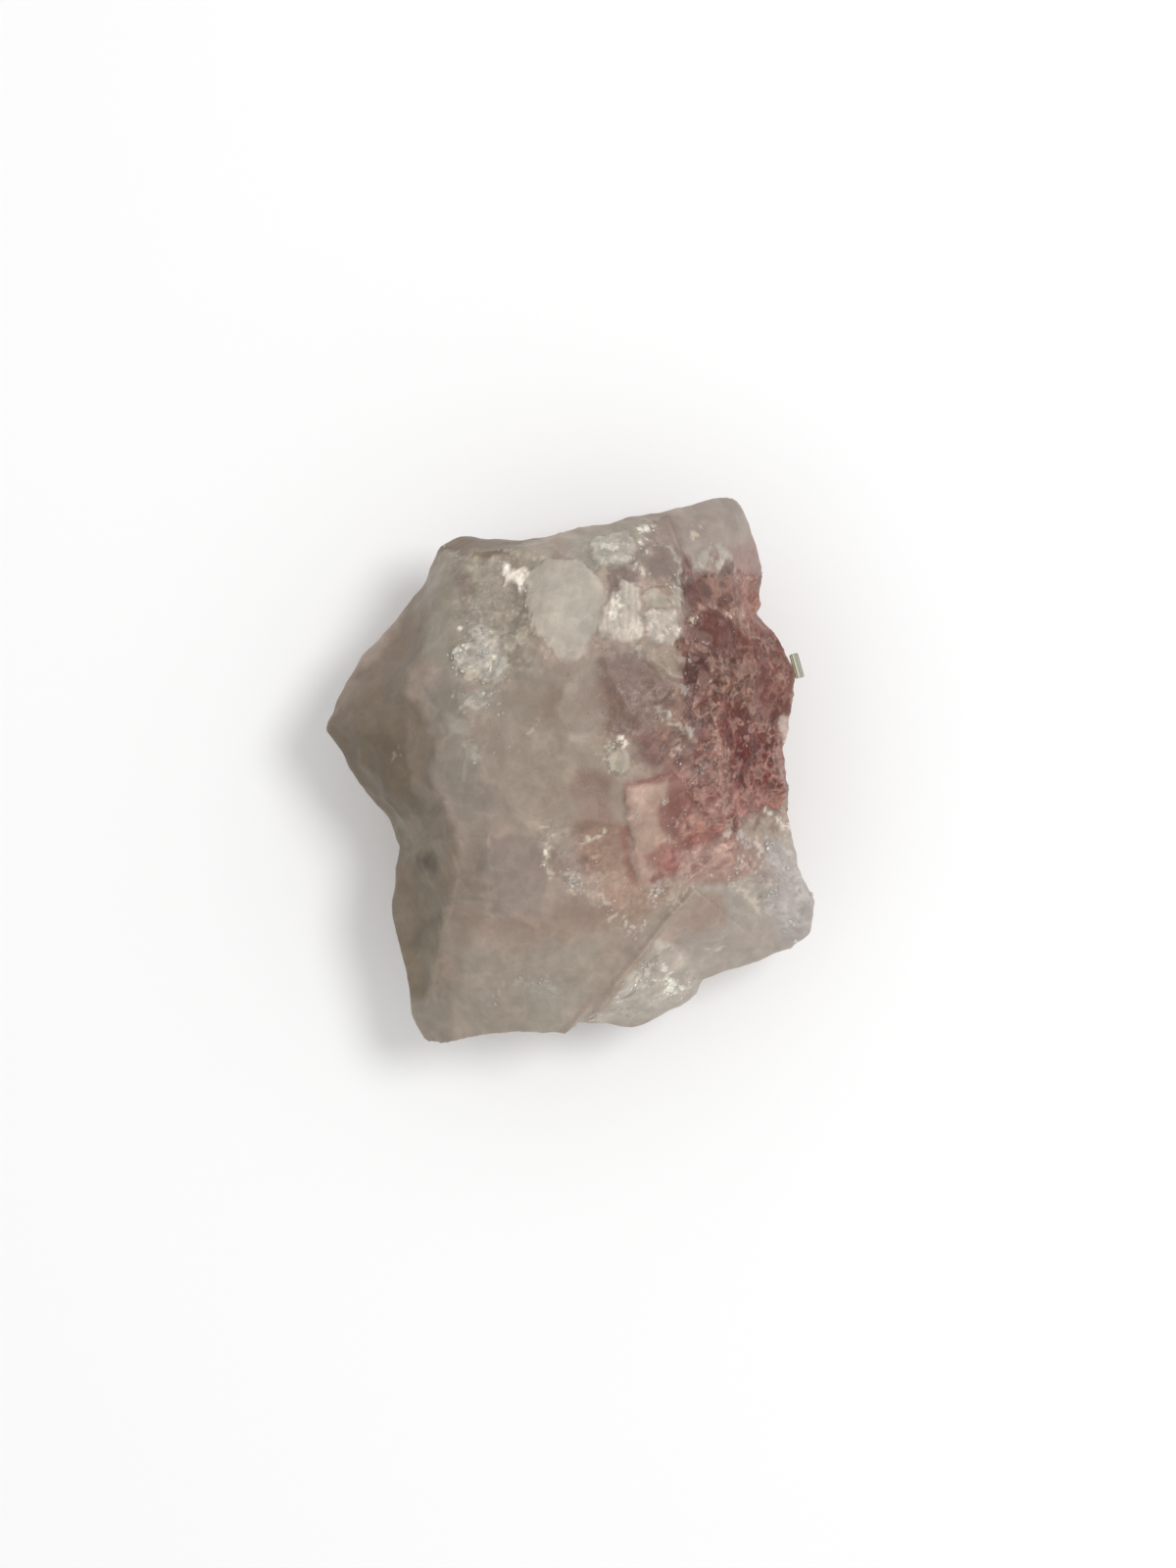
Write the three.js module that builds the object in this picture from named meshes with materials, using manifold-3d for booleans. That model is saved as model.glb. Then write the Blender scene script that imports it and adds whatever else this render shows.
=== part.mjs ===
// A rough chunk of milky quartz with a mass of pink tourmaline in its right side, lying on its broken
// back with its broad face up. Millimetres, +Z up, the origin under the middle of the chunk at its base.
//
// The chunk's form is a cage of named corners: a rim, which is its outline from above, a crown over it
// and an underside below it. Corners that are neighbours as seen from the heart share a triangle, and
// each triangle is broken up into chipped facets. The tourmaline fills a wedge cut out of the chunk.
import * as THREE from "three";
import { ConvexGeometry } from "three/addons/geometries/ConvexGeometry.js";
import { ConvexHull } from "three/addons/math/ConvexHull.js";
import { mergeVertices } from "three/addons/utils/BufferGeometryUtils.js";
import Module from "manifold-3d";

const wasm = await Module();
wasm.setup();

const GAP = 0.3; // clearance between pieces that touch
const CRYSTAL_CORNERS = 8;
const SUNK = 0.35; // how far a small crystal sits into its seat, as a share of its size
const GOLDEN_TURN = Math.PI * (3 - Math.sqrt(5)); // spreads points evenly over a ball
const HEART = new THREE.Vector3(0, 0, 12); // every corner is in plain sight of this point

// The outline from above, from the left tip clockwise.
const RIM = [
  [-25.2, 4.3, 13.5], [-23.1, 8.8, 12.5], [-20.5, 12.7, 12.5], [-17.6, 15.9, 12.5], [-14.8, 19.5, 13.5],
  [-13.4, 23.0, 14.5], [-11.5, 24.1, 14], [-8.3, 23.7, 13.5], [-4.3, 23.7, 14.5], [-2.8, 23.0, 16.5],
  [0.7, 23.2, 17.5], [3.7, 24.6, 16.5], [6.2, 26.0, 16], [8.7, 26.3, 15.5], [11.7, 27.2, 15],
  [14.5, 28.0, 14.5], [16.7, 27.7, 14], [17.8, 26.4, 13.5], [18.5, 24.3, 13.5], [19.4, 21.1, 13.5],
  [19.0, 16.2, 14.5], [21.4, 13.2, 14.5], [22.6, 9.5, 14.5], [22.2, 7.0, 14.5], [20.8, 4.0, 15],
  [21.6, 2.4, 14.5], [22.1, -1.2, 14], [21.7, -2.5, 14.5], [22.3, -4.2, 13.5], [21.9, -6.2, 14],
  [23.2, -9.7, 13.5], [25.1, -13.3, 12.5], [25.2, -15.9, 11.5], [24.8, -17.3, 11.5], [18.7, -19.5, 12.5],
  [13.0, -21.3, 13], [12.3, -23.8, 11.5], [8.7, -25.2, 11.5], [2.7, -25.7, 12], [0.6, -25.6, 13.5],
  [-0.8, -27.1, 14.5], [-4.0, -26.6, 14.5], [-9.3, -26.8, 14.5], [-13.3, -28.0, 13.5], [-14.7, -27.7, 12.5],
  [-16.3, -25.2, 12.5], [-16.9, -20.2, 13.5], [-18.4, -14.5, 13.5], [-17.3, -9.7, 14.5], [-17.5, -7.5, 13.5],
  [-18.7, -4.9, 12.5], [-21.1, -2.0, 12.5], [-23.4, 1.6, 13],
];

// The upper corners, by the part of the chunk they shape.
const CROWN = {
  leftFlank: [
    [-20.5, 8.6, 16.5], [-15.3, 9.2, 20.2], [-16.4, 4.2, 19.8], [-14.8, -1.8, 20.2], [-13, 15.5, 19.5],
  ],
  topEdge: [
    [-12.9, 20.5, 18], [-12.6, 22.2, 16.5], [-9.5, 21.9, 19], [-5, 22.6, 19.5], [-2.5, 22.6, 19],
    [1.5, 22.6, 19.5], [5.5, 22.5, 19.5],
  ],
  sugaryHollow: [
    [-9.5, 18.5, 20], [-6, 16, 20.8], [-10, 12.5, 22.5], [-5.5, 11.5, 23], [-1, 16, 23.5],
    [2, 20.5, 21.5], [-1.5, 20.5, 21],
  ],
  topLobe: [
    [8.5, 24.3, 18], [11.5, 23, 18.5], [14.5, 24.5, 17.5], [16.5, 21.5, 16.5], [12.5, 19.5, 19],
    [17.3, 25.8, 14.5],
  ],
  tourmalineSide: [
    [15.5, 16.5, 18.5], [17.8, 12, 18], [13, 13, 21.5], [19.3, 8, 17], [14.5, 7.5, 21.5],
    [18.5, 2, 17], [14, 1, 21.5], [19, -4, 16], [14, -5, 20.5],
  ],
  dome: [
    [5, 17, 23.5], [8, 13.5, 24.5], [9.5, 19.5, 21.5], [8.5, 8, 24.5], [8, 1, 24.5], [7, -5, 23.5],
    [2, 8, 25], [-4, 5, 25], [-11, 5.5, 23.5], [-12.5, 0, 22.8], [1, -2, 24.5], [-6, -4, 24],
    [-11, -8.5, 22], [-4.5, -12, 22.5], [3.5, -11.5, 22.5], [9.5, -9.5, 21.5],
  ],
  foot: [
    [-11.5, -13.5, 19.8], [-13, -16.5, 18], [-13.5, -22, 15.5], [-8, -19, 19.5], [0, -19.5, 19.5],
    [-11.5, -26.5, 13.2], [-3.5, -25.5, 15],
  ],
  darkHollow: [
    [-15, -7.5, 16.5], [-15.5, -13.5, 15], [-15.6, -19, 14.5],
  ],
  slantingRidge: [
    [11.3, -12.7, 19.5], [8.7, -15.6, 19.4], [6, -18.5, 19], [3.6, -21.5, 18], [1.2, -24.6, 16.5],
  ],
  slantingFoot: [
    [12.6, -13.9, 18.6], [10, -16.8, 17.6], [7.5, -19.6, 16.4], [5, -22.5, 15], [2.8, -24.6, 13.2],
  ],
  nub: [
    [11.6, -21.2, 14.6], [8.5, -22.5, 15],
  ],
  lowerLobe: [
    [15, -15.5, 16.5], [13.5, -19, 14.8], [17, -10, 17.5], [21, -11, 15.6], [22.8, -15, 13.6],
    [18.5, -17, 14.6],
  ],
};

// The underside: a ring that turns in under the rim, then the flat break that the chunk rests on.
const UNDERSIDE = [
  [-19.5, 4.5, 4.5], [-16, 12, 4.5], [-11, 19, 4], [-3, 19.5, 5], [6, 21, 4], [14, 22.5, 4],
  [17, 14, 5], [18, 6, 4], [18, -3, 4], [20, -12, 3.5], [13, -18.5, 4], [3, -22, 4.5],
  [-7, -22.5, 5], [-13.5, -22.5, 4], [-15, -13, 4.5], [-16, -4, 3.5],
];
const REST = [
  [-15.5, 5, 0], [-10.5, 13.5, 0], [0, 16, 0], [10.5, 16, 0], [14.5, 6, 0], [14, -6, 0],
  [9.5, -15, 0], [-1, -17.5, 0], [-10, -16.5, 0], [-13, -4, 0], [0, 0, 0],
];

// Plates of crystal that stand proud of the skin: the outline from above, and how far they lift the skin.
const PLATES = {
  frostedFace: {
    lift: 0.22,
    outline: [
      [-3.8, 19.3], [-2.3, 20.5], [0.6, 20.9], [2.2, 19.6], [3.2, 17.6], [3.1, 14.3], [1.6, 11.2],
      [-0.4, 11.2], [-3.4, 13.6], [-3.9, 15],
    ],
  },
  fibrousTooth: {
    lift: 0.5,
    outline: [
      [5.2, 18.2], [6.4, 17.8], [6.7, 13.2], [5.6, 12.6], [3.7, 12.4], [2.8, 13.1], [3.5, 15.8],
    ],
  },
  crackedBlock: {
    lift: 0.3,
    outline: [
      [6.9, 17.3], [10.2, 17.4], [10.9, 14.2], [9.4, 12.2], [8.3, 11.9], [6.9, 12.7],
    ],
  },
  glassyLump: {
    lift: 0.3,
    outline: [[3.4, 23.3], [4.6, 23.1], [5.4, 22], [5, 20.7], [3.8, 20.2], [2.4, 20.8], [2, 22.2]],
  },
  upperCrystal: {
    lift: 0.2,
    outline: [[7.3, 20.7], [8.6, 22.3], [10.2, 20.8], [11, 18.3], [10.4, 17.8], [7.4, 17.9]],
  },
  salmonBlock: {
    lift: 0.3,
    outline: [
      [5.4, -1.2], [7.2, -1.2], [9.9, 0.3], [11, -1.4], [11.2, -4.6], [10.4, -7.3], [8.6, -9.2],
      [6.7, -9.8], [5.4, -4.2],
    ],
  },
  lobeLump: {
    lift: 0.2,
    outline: [[12.2, 20.6], [13, 22.2], [15, 22.9], [16.2, 21.8], [15.6, 20.3], [13.6, 19.6]],
  },
  shellCluster: {
    lift: 0.25,
    outline: [
      [-11.6, 11.6], [-10.9, 12.3], [-8.8, 13.7], [-7.3, 13.4], [-6.3, 11.6], [-6.3, 9.8], [-8, 8.9],
      [-9.4, 9.2], [-10.8, 10.3],
    ],
  },
  smallTooth: {
    lift: 0.3,
    outline: [[-6.6, 20.1], [-5.2, 20.4], [-3.9, 19.6], [-3.7, 18.4], [-5, 17.9], [-6.2, 18.3]],
  },
};
const PLATE_REACH = [13, 34]; // the heights between which a plate's outline cuts the lifted skin

// The hollow that the tourmaline fills: the upper mass and the tongue below it, each a hull of corners.
const HOLLOW = {
  upperMass: [
    [12.5, 19.8, 32], [11.2, 14, 32], [11, 8, 32], [12.2, 2, 32], [13, -3, 32], [20, -5.5, 32],
    [28, -4.6, 32], [28, 20, 32], [15.5, 15, 7], [16, 5, 4.5], [15.5, -3, 6.5], [28, -3, 6.5],
    [28, 4, 4.5], [28, 15, 7.5],
  ],
  tongue: [
    [13, 1, 32], [10.6, -5.5, 32], [11, -9.4, 32], [15.5, -8.6, 32], [20.5, -4.8, 32], [20, 1, 32],
    [13.5, -1, 12], [12.8, -7, 12], [16, -7, 12], [18, -1, 12],
  ],
};

const LONGEST_EDGE = 3.4; // of the skin's triangles
const CHIP = { size: 5.5, tilt: 0.22, rise: 0.3, depth: 0.42 }; // chipped facets: width, slope, height
const CALM_CROWN = { from: 14, to: 20, share: 0.45 }; // chips are fainter on the crown
const CALM_RIM = { height: 13.5, reach: 3.5, share: 0.85 }; // and faintest along the rim
const SETTLE = 4; // chips die out over this height above the base, which stays flat

// Patches of the quartz where small broken crystals stand: the middle from above and the reach.
const SUGAR = [
  { x: -8, y: 16, reach: 4.2 }, { x: -8.6, y: 11, reach: 3.2 }, { x: 0, y: 22, reach: 2.6 },
  { x: 8, y: -21.8, reach: 4.6 }, { x: 12.5, y: -11, reach: 2.6 }, { x: 4, y: 2.5, reach: 2.4 },
  { x: -2, y: -7.5, reach: 2 }, { x: -3, y: -22, reach: 2.4 }, { x: 18.5, y: -12.5, reach: 2.4 },
  { x: 9.6, y: 5, reach: 2.6 },
];
const SUGAR_CRYSTAL = { size: 1, odds: 0.5, lowest: 13 };
const GRAIN = { size: 1.75, odds: 0.6 };

// The small striated prism at the right edge: a rounded triangle in section, ribbed along its length.
const PRISM = { middle: [22.9, 10.8, 13.6], lean: [0.26, -0.96, 0.12], length: 2.5, radius: 0.42 };
const RIB = { count: 9, depth: 0.04, steps: 4 };
const CRADLE = { seat: [22.3, 10.8, 12.9], size: 1.2 }; // the grain that the prism stands in

// The same number from 0 to 1 every time for one grain, cell or corner n and one of its traits k.
function chance(n, k) {
  const wave = Math.sin(n * 12.9898 + k * 78.233) * 43758.5453;
  return wave - Math.floor(wave);
}

// One closed skin over the corners: those that are neighbours as seen from the heart share a triangle.
function skinOver(corners) {
  const points = corners.map((corner) => new THREE.Vector3(...corner));
  const ways = points.map((point) => point.clone().sub(HEART).normalize());
  const hull = new ConvexGeometry(ways).getAttribute("position");
  const skin = [];
  for (let i = 0; i < hull.count; i++) {
    const way = new THREE.Vector3().fromBufferAttribute(hull, i);
    const gaps = ways.map((w) => w.distanceToSquared(way));
    skin.push(points[gaps.indexOf(Math.min(...gaps))]);
  }
  return skin;
}

// Each edge over the longest allowed is halved, and the triangles on both of its sides are parted there.
function finer(skin) {
  const parted = [];
  const halfway = (p, q) => (p.distanceTo(q) > LONGEST_EDGE ? p.clone().add(q).multiplyScalar(0.5) : null);
  for (let i = 0; i < skin.length; i += 3) {
    let [a, b, c] = skin.slice(i, i + 3);
    let [ab, bc, ca] = [halfway(a, b), halfway(b, c), halfway(c, a)];
    const halved = [ab, bc, ca].filter(Boolean).length;
    while ((halved === 1 || halved === 2) && !(ab && !ca)) {
      [a, b, c] = [b, c, a];
      [ab, bc, ca] = [bc, ca, ab];
    }
    if (halved === 0) parted.push(a, b, c);
    if (halved === 1) parted.push(a, ab, c, ab, b, c);
    if (halved === 2) parted.push(ab, b, bc, a, ab, bc, a, bc, c);
    if (halved === 3) parted.push(a, ab, ca, ab, b, bc, ca, bc, c, ab, bc, ca);
  }
  return parted.length > skin.length ? finer(parted) : parted;
}

// How far the skin is chipped back at a point: the lowest of the tilted planes of the cells around it.
function chipDepth(point) {
  const cell = point.clone().divideScalar(CHIP.size).floor();
  const seed = new THREE.Vector3();
  const tilt = new THREE.Vector3();
  let depth = Infinity;
  for (let dx = -1; dx <= 1; dx++) {
    for (let dy = -1; dy <= 1; dy++) {
      for (let dz = -1; dz <= 1; dz++) {
        const n = (cell.x + dx) * 31 + (cell.y + dy) * 57 + (cell.z + dz) * 97;
        seed.set(cell.x + dx + chance(n, 1), cell.y + dy + chance(n, 2), cell.z + dz + chance(n, 3));
        seed.multiplyScalar(CHIP.size).sub(point).negate();
        tilt.set(chance(n, 4) - 0.5, chance(n, 5) - 0.5, chance(n, 6) - 0.5).multiplyScalar(2 * CHIP.tilt);
        const bowl = (0.5 * seed.lengthSq()) / CHIP.size;
        depth = Math.min(depth, CHIP.rise * (chance(n, 7) - 0.5) + tilt.dot(seed) + bowl);
      }
    }
  }
  return depth;
}

// Facets chipped into the skin, outwards and inwards along the line from the heart.
function chipped(skin) {
  return skin.map((point) => {
    const way = point.clone().sub(HEART).normalize();
    const settled = THREE.MathUtils.smoothstep(point.z, 0.2, SETTLE);
    const crown = THREE.MathUtils.smoothstep(point.z, CALM_CROWN.from, CALM_CROWN.to);
    const rim = Math.exp(-(((point.z - CALM_RIM.height) / CALM_RIM.reach) ** 2));
    const share = settled * (1 - CALM_CROWN.share * crown) * (1 - CALM_RIM.share * rim);
    return point.clone().addScaledVector(way, share * (chipDepth(point) - CHIP.depth));
  });
}

// A closed mesh of triangles as a solid that can be joined and cut.
function solid(geometry) {
  const bare = geometry.clone();
  bare.deleteAttribute("normal");
  bare.deleteAttribute("uv");
  const merged = mergeVertices(bare, 1e-4);
  const vertProperties = new Float32Array(merged.getAttribute("position").array);
  const triVerts = new Uint32Array(merged.getIndex().array);
  return new wasm.Manifold(new wasm.Mesh({ numProp: 3, vertProperties, triVerts }));
}

const hull = (points) => solid(new ConvexGeometry(points));

// A plate over its outline: the part of the skin inside it, lifted.
function plate({ outline, lift }) {
  const column = hull(outline.flatMap(([x, y]) => PLATE_REACH.map((z) => new THREE.Vector3(x, y, z))));
  const lifted = skin.map(({ x, y, z }) => new THREE.Vector3(x, y, z + lift));
  return column.intersect(solid(new THREE.BufferGeometry().setFromPoints(lifted)));
}

// A small crystal with flat faces, half sunk at its seat: the hull of corners spread evenly around its
// middle, no two as far out.
function crystal(n, seat, size) {
  const corners = [];
  for (let k = 0; k < CRYSTAL_CORNERS; k++) {
    const rise = 1 - (2 * k + 1) / CRYSTAL_CORNERS;
    const flat = Math.sqrt(1 - rise * rise);
    const turn = GOLDEN_TURN * k;
    const corner = new THREE.Vector3(flat * Math.cos(turn), flat * Math.sin(turn), rise);
    corners.push(corner.multiplyScalar(size * (0.7 + 0.6 * chance(n, k))));
  }
  const lean = new THREE.Euler(3 * chance(n, 21), 3 * chance(n, 22), 3 * chance(n, 23));
  const sunk = seat.clone().lerp(HEART, (SUNK * size) / seat.distanceTo(HEART));
  return hull(corners.map((corner) => corner.applyEuler(lean).add(sunk)));
}

// The hollow, its corners moved out from its middle by a clearance along each axis.
function hollow(clearance) {
  const [upperMass, tongue] = Object.values(HOLLOW).map((corners) => {
    const points = corners.map((corner) => new THREE.Vector3(...corner));
    const middle = new THREE.Box3().setFromPoints(points).getCenter(new THREE.Vector3());
    return hull(points.map((point) => {
      const out = point.clone().sub(middle);
      return point.clone().addScaledVector(out.set(...out.toArray().map(Math.sign)), clearance);
    }));
  });
  return upperMass.add(tongue);
}

// The striated prism, or with a clearance the smooth socket that it sits in.
function prism(clearance) {
  const ribDepth = clearance > 0 ? 0 : RIB.depth;
  const outline = [];
  for (let i = 0; i < RIB.count * RIB.steps; i++) {
    const turn = (i / (RIB.count * RIB.steps)) * 2 * Math.PI;
    const bulge = PRISM.radius * (1 + 0.12 * Math.cos(3 * turn));
    const reach = bulge + ribDepth * Math.cos(RIB.count * turn) + clearance;
    outline.push(new THREE.Vector2(reach * Math.cos(turn), reach * Math.sin(turn)));
  }
  const depth = PRISM.length + 2 * clearance;
  const geometry = new THREE.ExtrudeGeometry(new THREE.Shape(outline), { depth, bevelEnabled: false });
  const along = new THREE.Vector3(...PRISM.lean).normalize();
  geometry.translate(0, 0, -depth / 2);
  geometry.applyQuaternion(new THREE.Quaternion().setFromUnitVectors(new THREE.Vector3(0, 0, 1), along));
  geometry.translate(...PRISM.middle);
  return solid(geometry);
}

// The triangles of the largest shell, without the loose chips and sealed voids that the cuts leave.
function largestShell(triVerts) {
  const owner = [];
  const find = (v) => {
    while (owner[v] !== undefined) v = owner[v];
    return v;
  };
  for (let i = 0; i < triVerts.length; i++) {
    const [a, b] = [find(triVerts[i]), find(triVerts[i - (i % 3)])];
    if (a !== b) owner[a] = b;
  }
  const size = new Map();
  const roots = Array.from(triVerts, find);
  roots.forEach((root) => size.set(root, (size.get(root) ?? 0) + 1));
  const largest = [...size.keys()].reduce((a, b) => (size.get(a) > size.get(b) ? a : b));
  return triVerts.filter((_, i) => roots[i] === largest);
}

// A finished solid as a mesh of the scene graph.
function piece(name, body, look) {
  const mesh = body.getMesh();
  const geometry = new THREE.BufferGeometry();
  geometry.setAttribute("position", new THREE.BufferAttribute(mesh.vertProperties, 3));
  geometry.setIndex(new THREE.BufferAttribute(largestShell(mesh.triVerts), 1));
  geometry.computeVertexNormals();
  const part = new THREE.Mesh(geometry, new THREE.MeshStandardMaterial(look));
  part.name = name;
  return part;
}

// The chunk as it was before the tourmaline's hollow: the chipped skin with its plates.
const corners = [...RIM, ...Object.values(CROWN).flat(), ...UNDERSIDE, ...REST];
const skin = chipped(finer(skinOver(corners)));
let chunk = solid(new THREE.BufferGeometry().setFromPoints(skin));
Object.values(PLATES).forEach((shape) => {
  chunk = chunk.add(plate(shape));
});

// Each corner of the skin is a seat for a small crystal: tourmaline grains in the hollow's mouth, and
// broken quartz in the sugary patches.
const seats = mergeVertices(new THREE.BufferGeometry().setFromPoints(skin), 1e-4).getAttribute("position");
const mouths = Object.values(HOLLOW).map((hollowCorners) =>
  new ConvexHull().setFromPoints(hollowCorners.map((corner) => new THREE.Vector3(...corner))));
let grainy = chunk.add(crystal(0, new THREE.Vector3(...CRADLE.seat), CRADLE.size));
let sugary = chunk;
for (let n = 0; n < seats.count; n++) {
  const seat = new THREE.Vector3().fromBufferAttribute(seats, n);
  const inMouth = mouths.some((mouth) => mouth.containsPoint(seat));
  const inSugar = SUGAR.some(({ x, y, reach }) => Math.hypot(seat.x - x, seat.y - y) < reach);
  const size = 0.7 + 0.6 * chance(n, 30);
  if (inMouth && chance(n, 31) < GRAIN.odds) {
    grainy = grainy.add(crystal(n, seat, GRAIN.size * size));
  } else if (inSugar && seat.z > SUGAR_CRYSTAL.lowest && chance(n, 31) < SUGAR_CRYSTAL.odds) {
    sugary = sugary.add(crystal(n, seat, SUGAR_CRYSTAL.size * size));
  }
}

const quartz = sugary.subtract(hollow(GAP));
const tourmaline = grainy.intersect(hollow(0)).subtract(prism(GAP));

const group = new THREE.Group();
group.add(piece("quartz", quartz, { color: 0xcbbfb4, roughness: 0.45, metalness: 0 }));
group.add(piece("tourmaline", tourmaline, { color: 0x9c4f55, roughness: 0.35, metalness: 0 }));
group.add(piece("side_prism", prism(0), { color: 0xb9b4a8, roughness: 0.3, metalness: 0 }));

// The origin goes under the middle of the whole cluster, at its base.
const extent = new THREE.Box3().setFromObject(group, true);
const middle = extent.getCenter(new THREE.Vector3());
group.position.set(-middle.x, -middle.y, -extent.min.z);

export default group;
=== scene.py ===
import math
import time
import bmesh
import bpy
import numpy as np
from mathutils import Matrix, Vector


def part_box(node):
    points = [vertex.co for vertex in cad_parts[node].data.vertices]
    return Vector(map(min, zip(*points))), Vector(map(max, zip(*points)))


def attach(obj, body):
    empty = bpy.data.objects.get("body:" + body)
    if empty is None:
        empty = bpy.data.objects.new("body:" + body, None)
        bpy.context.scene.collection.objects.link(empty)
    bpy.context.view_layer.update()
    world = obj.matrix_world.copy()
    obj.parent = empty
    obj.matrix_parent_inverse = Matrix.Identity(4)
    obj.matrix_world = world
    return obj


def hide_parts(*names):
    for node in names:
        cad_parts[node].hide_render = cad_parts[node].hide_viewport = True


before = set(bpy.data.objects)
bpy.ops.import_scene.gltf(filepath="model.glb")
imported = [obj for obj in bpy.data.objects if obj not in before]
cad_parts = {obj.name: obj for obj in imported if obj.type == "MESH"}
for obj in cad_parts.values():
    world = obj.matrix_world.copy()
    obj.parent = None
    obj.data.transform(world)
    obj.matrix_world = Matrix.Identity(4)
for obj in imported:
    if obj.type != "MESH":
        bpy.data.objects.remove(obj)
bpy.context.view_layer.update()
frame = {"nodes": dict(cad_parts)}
started = time.time()
print("frame loaded:", ", ".join(frame["nodes"]))

millimetre = 0.001
heart = np.array([0, 0, 12.0])  # the point inside the stone from which every corner is in plain sight

# The stone's cage of corners, in millimetres: its outline from above, clockwise from the left tip, the
# crown over it, and the underside down to the flat break that it rests on.
rockForm = {
    "rim": [
        (-25.2, 4.3, 13.5), (-23.1, 8.8, 12.5), (-20.5, 12.7, 12.5), (-17.6, 15.9, 12.5),
        (-14.8, 19.5, 13.5), (-13.4, 23, 14.5), (-11.5, 24.1, 14), (-8.3, 23.7, 13.5),
        (-4.3, 23.7, 14.5), (-2.8, 23, 16.5), (0.7, 23.2, 17.5), (3.7, 24.6, 16.5), (6.2, 26, 16),
        (8.7, 26.3, 15.5), (11.7, 27.2, 15), (14.5, 28, 14.5), (16.7, 27.7, 14), (17.8, 26.4, 13.5),
        (18.5, 24.3, 13.5), (19.4, 21.1, 13.5), (19, 16.2, 14.5), (21.4, 13.2, 14.5), (22.6, 9.5, 14.5),
        (22.2, 7, 14.5), (20.8, 4, 15), (21.6, 2.4, 14.5), (22.1, -1.2, 14), (21.7, -2.5, 14.5),
        (22.3, -4.2, 13.5), (21.9, -6.2, 14), (23.2, -9.7, 13.5), (25.1, -13.3, 12.5),
        (25.2, -15.9, 11.5), (24.8, -17.3, 11.5), (18.7, -19.5, 12.5), (13, -21.3, 13),
        (12.3, -23.8, 11.5), (8.7, -25.2, 11.5), (2.7, -25.7, 12), (0.6, -25.6, 13.5),
        (-0.8, -27.1, 14.5), (-4, -26.6, 14.5), (-9.3, -26.8, 14.5), (-13.3, -28, 13.5),
        (-14.7, -27.7, 12.5), (-16.3, -25.2, 12.5), (-16.9, -20.2, 13.5), (-18.4, -14.5, 13.5),
        (-17.3, -9.7, 14.5), (-17.5, -7.5, 13.5), (-18.7, -4.9, 12.5), (-21.1, -2, 12.5),
        (-23.4, 1.6, 13),
    ],
    "leftFlank": [
        (-20.5, 8.6, 16.5), (-15.3, 9.2, 20.2), (-16.4, 4.2, 19.8), (-14.8, -1.8, 20.2),
        (-13, 15.5, 19.5),
    ],
    "topEdge": [
        (-12.9, 20.5, 18), (-12.6, 22.2, 16.5), (-9.5, 21.9, 19), (-5, 22.6, 19.5),
        (-2.5, 22.6, 19), (1.5, 22.6, 19.5), (5.5, 22.5, 19.5),
    ],
    "sugaryHollow": [
        (-9.5, 18.5, 20), (-6, 16, 20.8), (-10, 12.5, 22.5), (-5.5, 11.5, 23), (-1, 16, 23.5),
        (2, 20.5, 21.5), (-1.5, 20.5, 21),
    ],
    "topLobe": [
        (8.5, 24.3, 18), (11.5, 23, 18.5), (14.5, 24.5, 17.5), (16.5, 21.5, 16.5), (12.5, 19.5, 19),
        (17.3, 25.8, 14.5),
    ],
    "tourmalineSide": [
        (15.5, 16.5, 18.5), (17.8, 12, 18), (13, 13, 21.5), (19.3, 8, 17), (14.5, 7.5, 21.5),
        (18.5, 2, 17), (14, 1, 21.5), (19, -4, 16), (14, -5, 20.5),
    ],
    "dome": [
        (5, 17, 23.5), (8, 13.5, 24.5), (9.5, 19.5, 21.5), (8.5, 8, 24.5), (8, 1, 24.5), (7, -5, 23.5),
        (2, 8, 25), (-4, 5, 25), (-11, 5.5, 23.5), (-12.5, 0, 22.8), (1, -2, 24.5), (-6, -4, 24),
        (-11, -8.5, 22), (-4.5, -12, 22.5), (3.5, -11.5, 22.5), (9.5, -9.5, 21.5),
    ],
    "foot": [
        (-11.5, -13.5, 19.8), (-13, -16.5, 18), (-13.5, -22, 15.5), (-8, -19, 19.5), (0, -19.5, 19.5),
        (-11.5, -26.5, 13.2), (-3.5, -25.5, 15),
    ],
    "darkHollow": [(-15, -7.5, 16.5), (-15.5, -13.5, 15), (-15.6, -19, 14.5)],
    "slantingRidge": [
        (11.3, -12.7, 19.5), (8.7, -15.6, 19.4), (6, -18.5, 19), (3.6, -21.5, 18), (1.2, -24.6, 16.5),
    ],
    "slantingFoot": [
        (12.6, -13.9, 18.6), (10, -16.8, 17.6), (7.5, -19.6, 16.4), (5, -22.5, 15), (2.8, -24.6, 13.2),
    ],
    "nub": [(11.6, -21.2, 14.6), (8.5, -22.5, 15)],
    "lowerLobe": [
        (15, -15.5, 16.5), (13.5, -19, 14.8), (17, -10, 17.5), (21, -11, 15.6), (22.8, -15, 13.6),
        (18.5, -17, 14.6),
    ],
    "underside": [
        (-19.5, 4.5, 4.5), (-16, 12, 4.5), (-11, 19, 4), (-3, 19.5, 5), (6, 21, 4), (14, 22.5, 4),
        (17, 14, 5), (18, 6, 4), (18, -3, 4), (20, -12, 3.5), (13, -18.5, 4), (3, -22, 4.5),
        (-7, -22.5, 5), (-13.5, -22.5, 4), (-15, -13, 4.5), (-16, -4, 3.5),
    ],
    "rest": [
        (-15.5, 5, 0), (-10.5, 13.5, 0), (0, 16, 0), (10.5, 16, 0), (14.5, 6, 0), (14, -6, 0),
        (9.5, -15, 0), (-1, -17.5, 0), (-10, -16.5, 0), (-13, -4, 0), (0, 0, 0),
    ],
}

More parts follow.
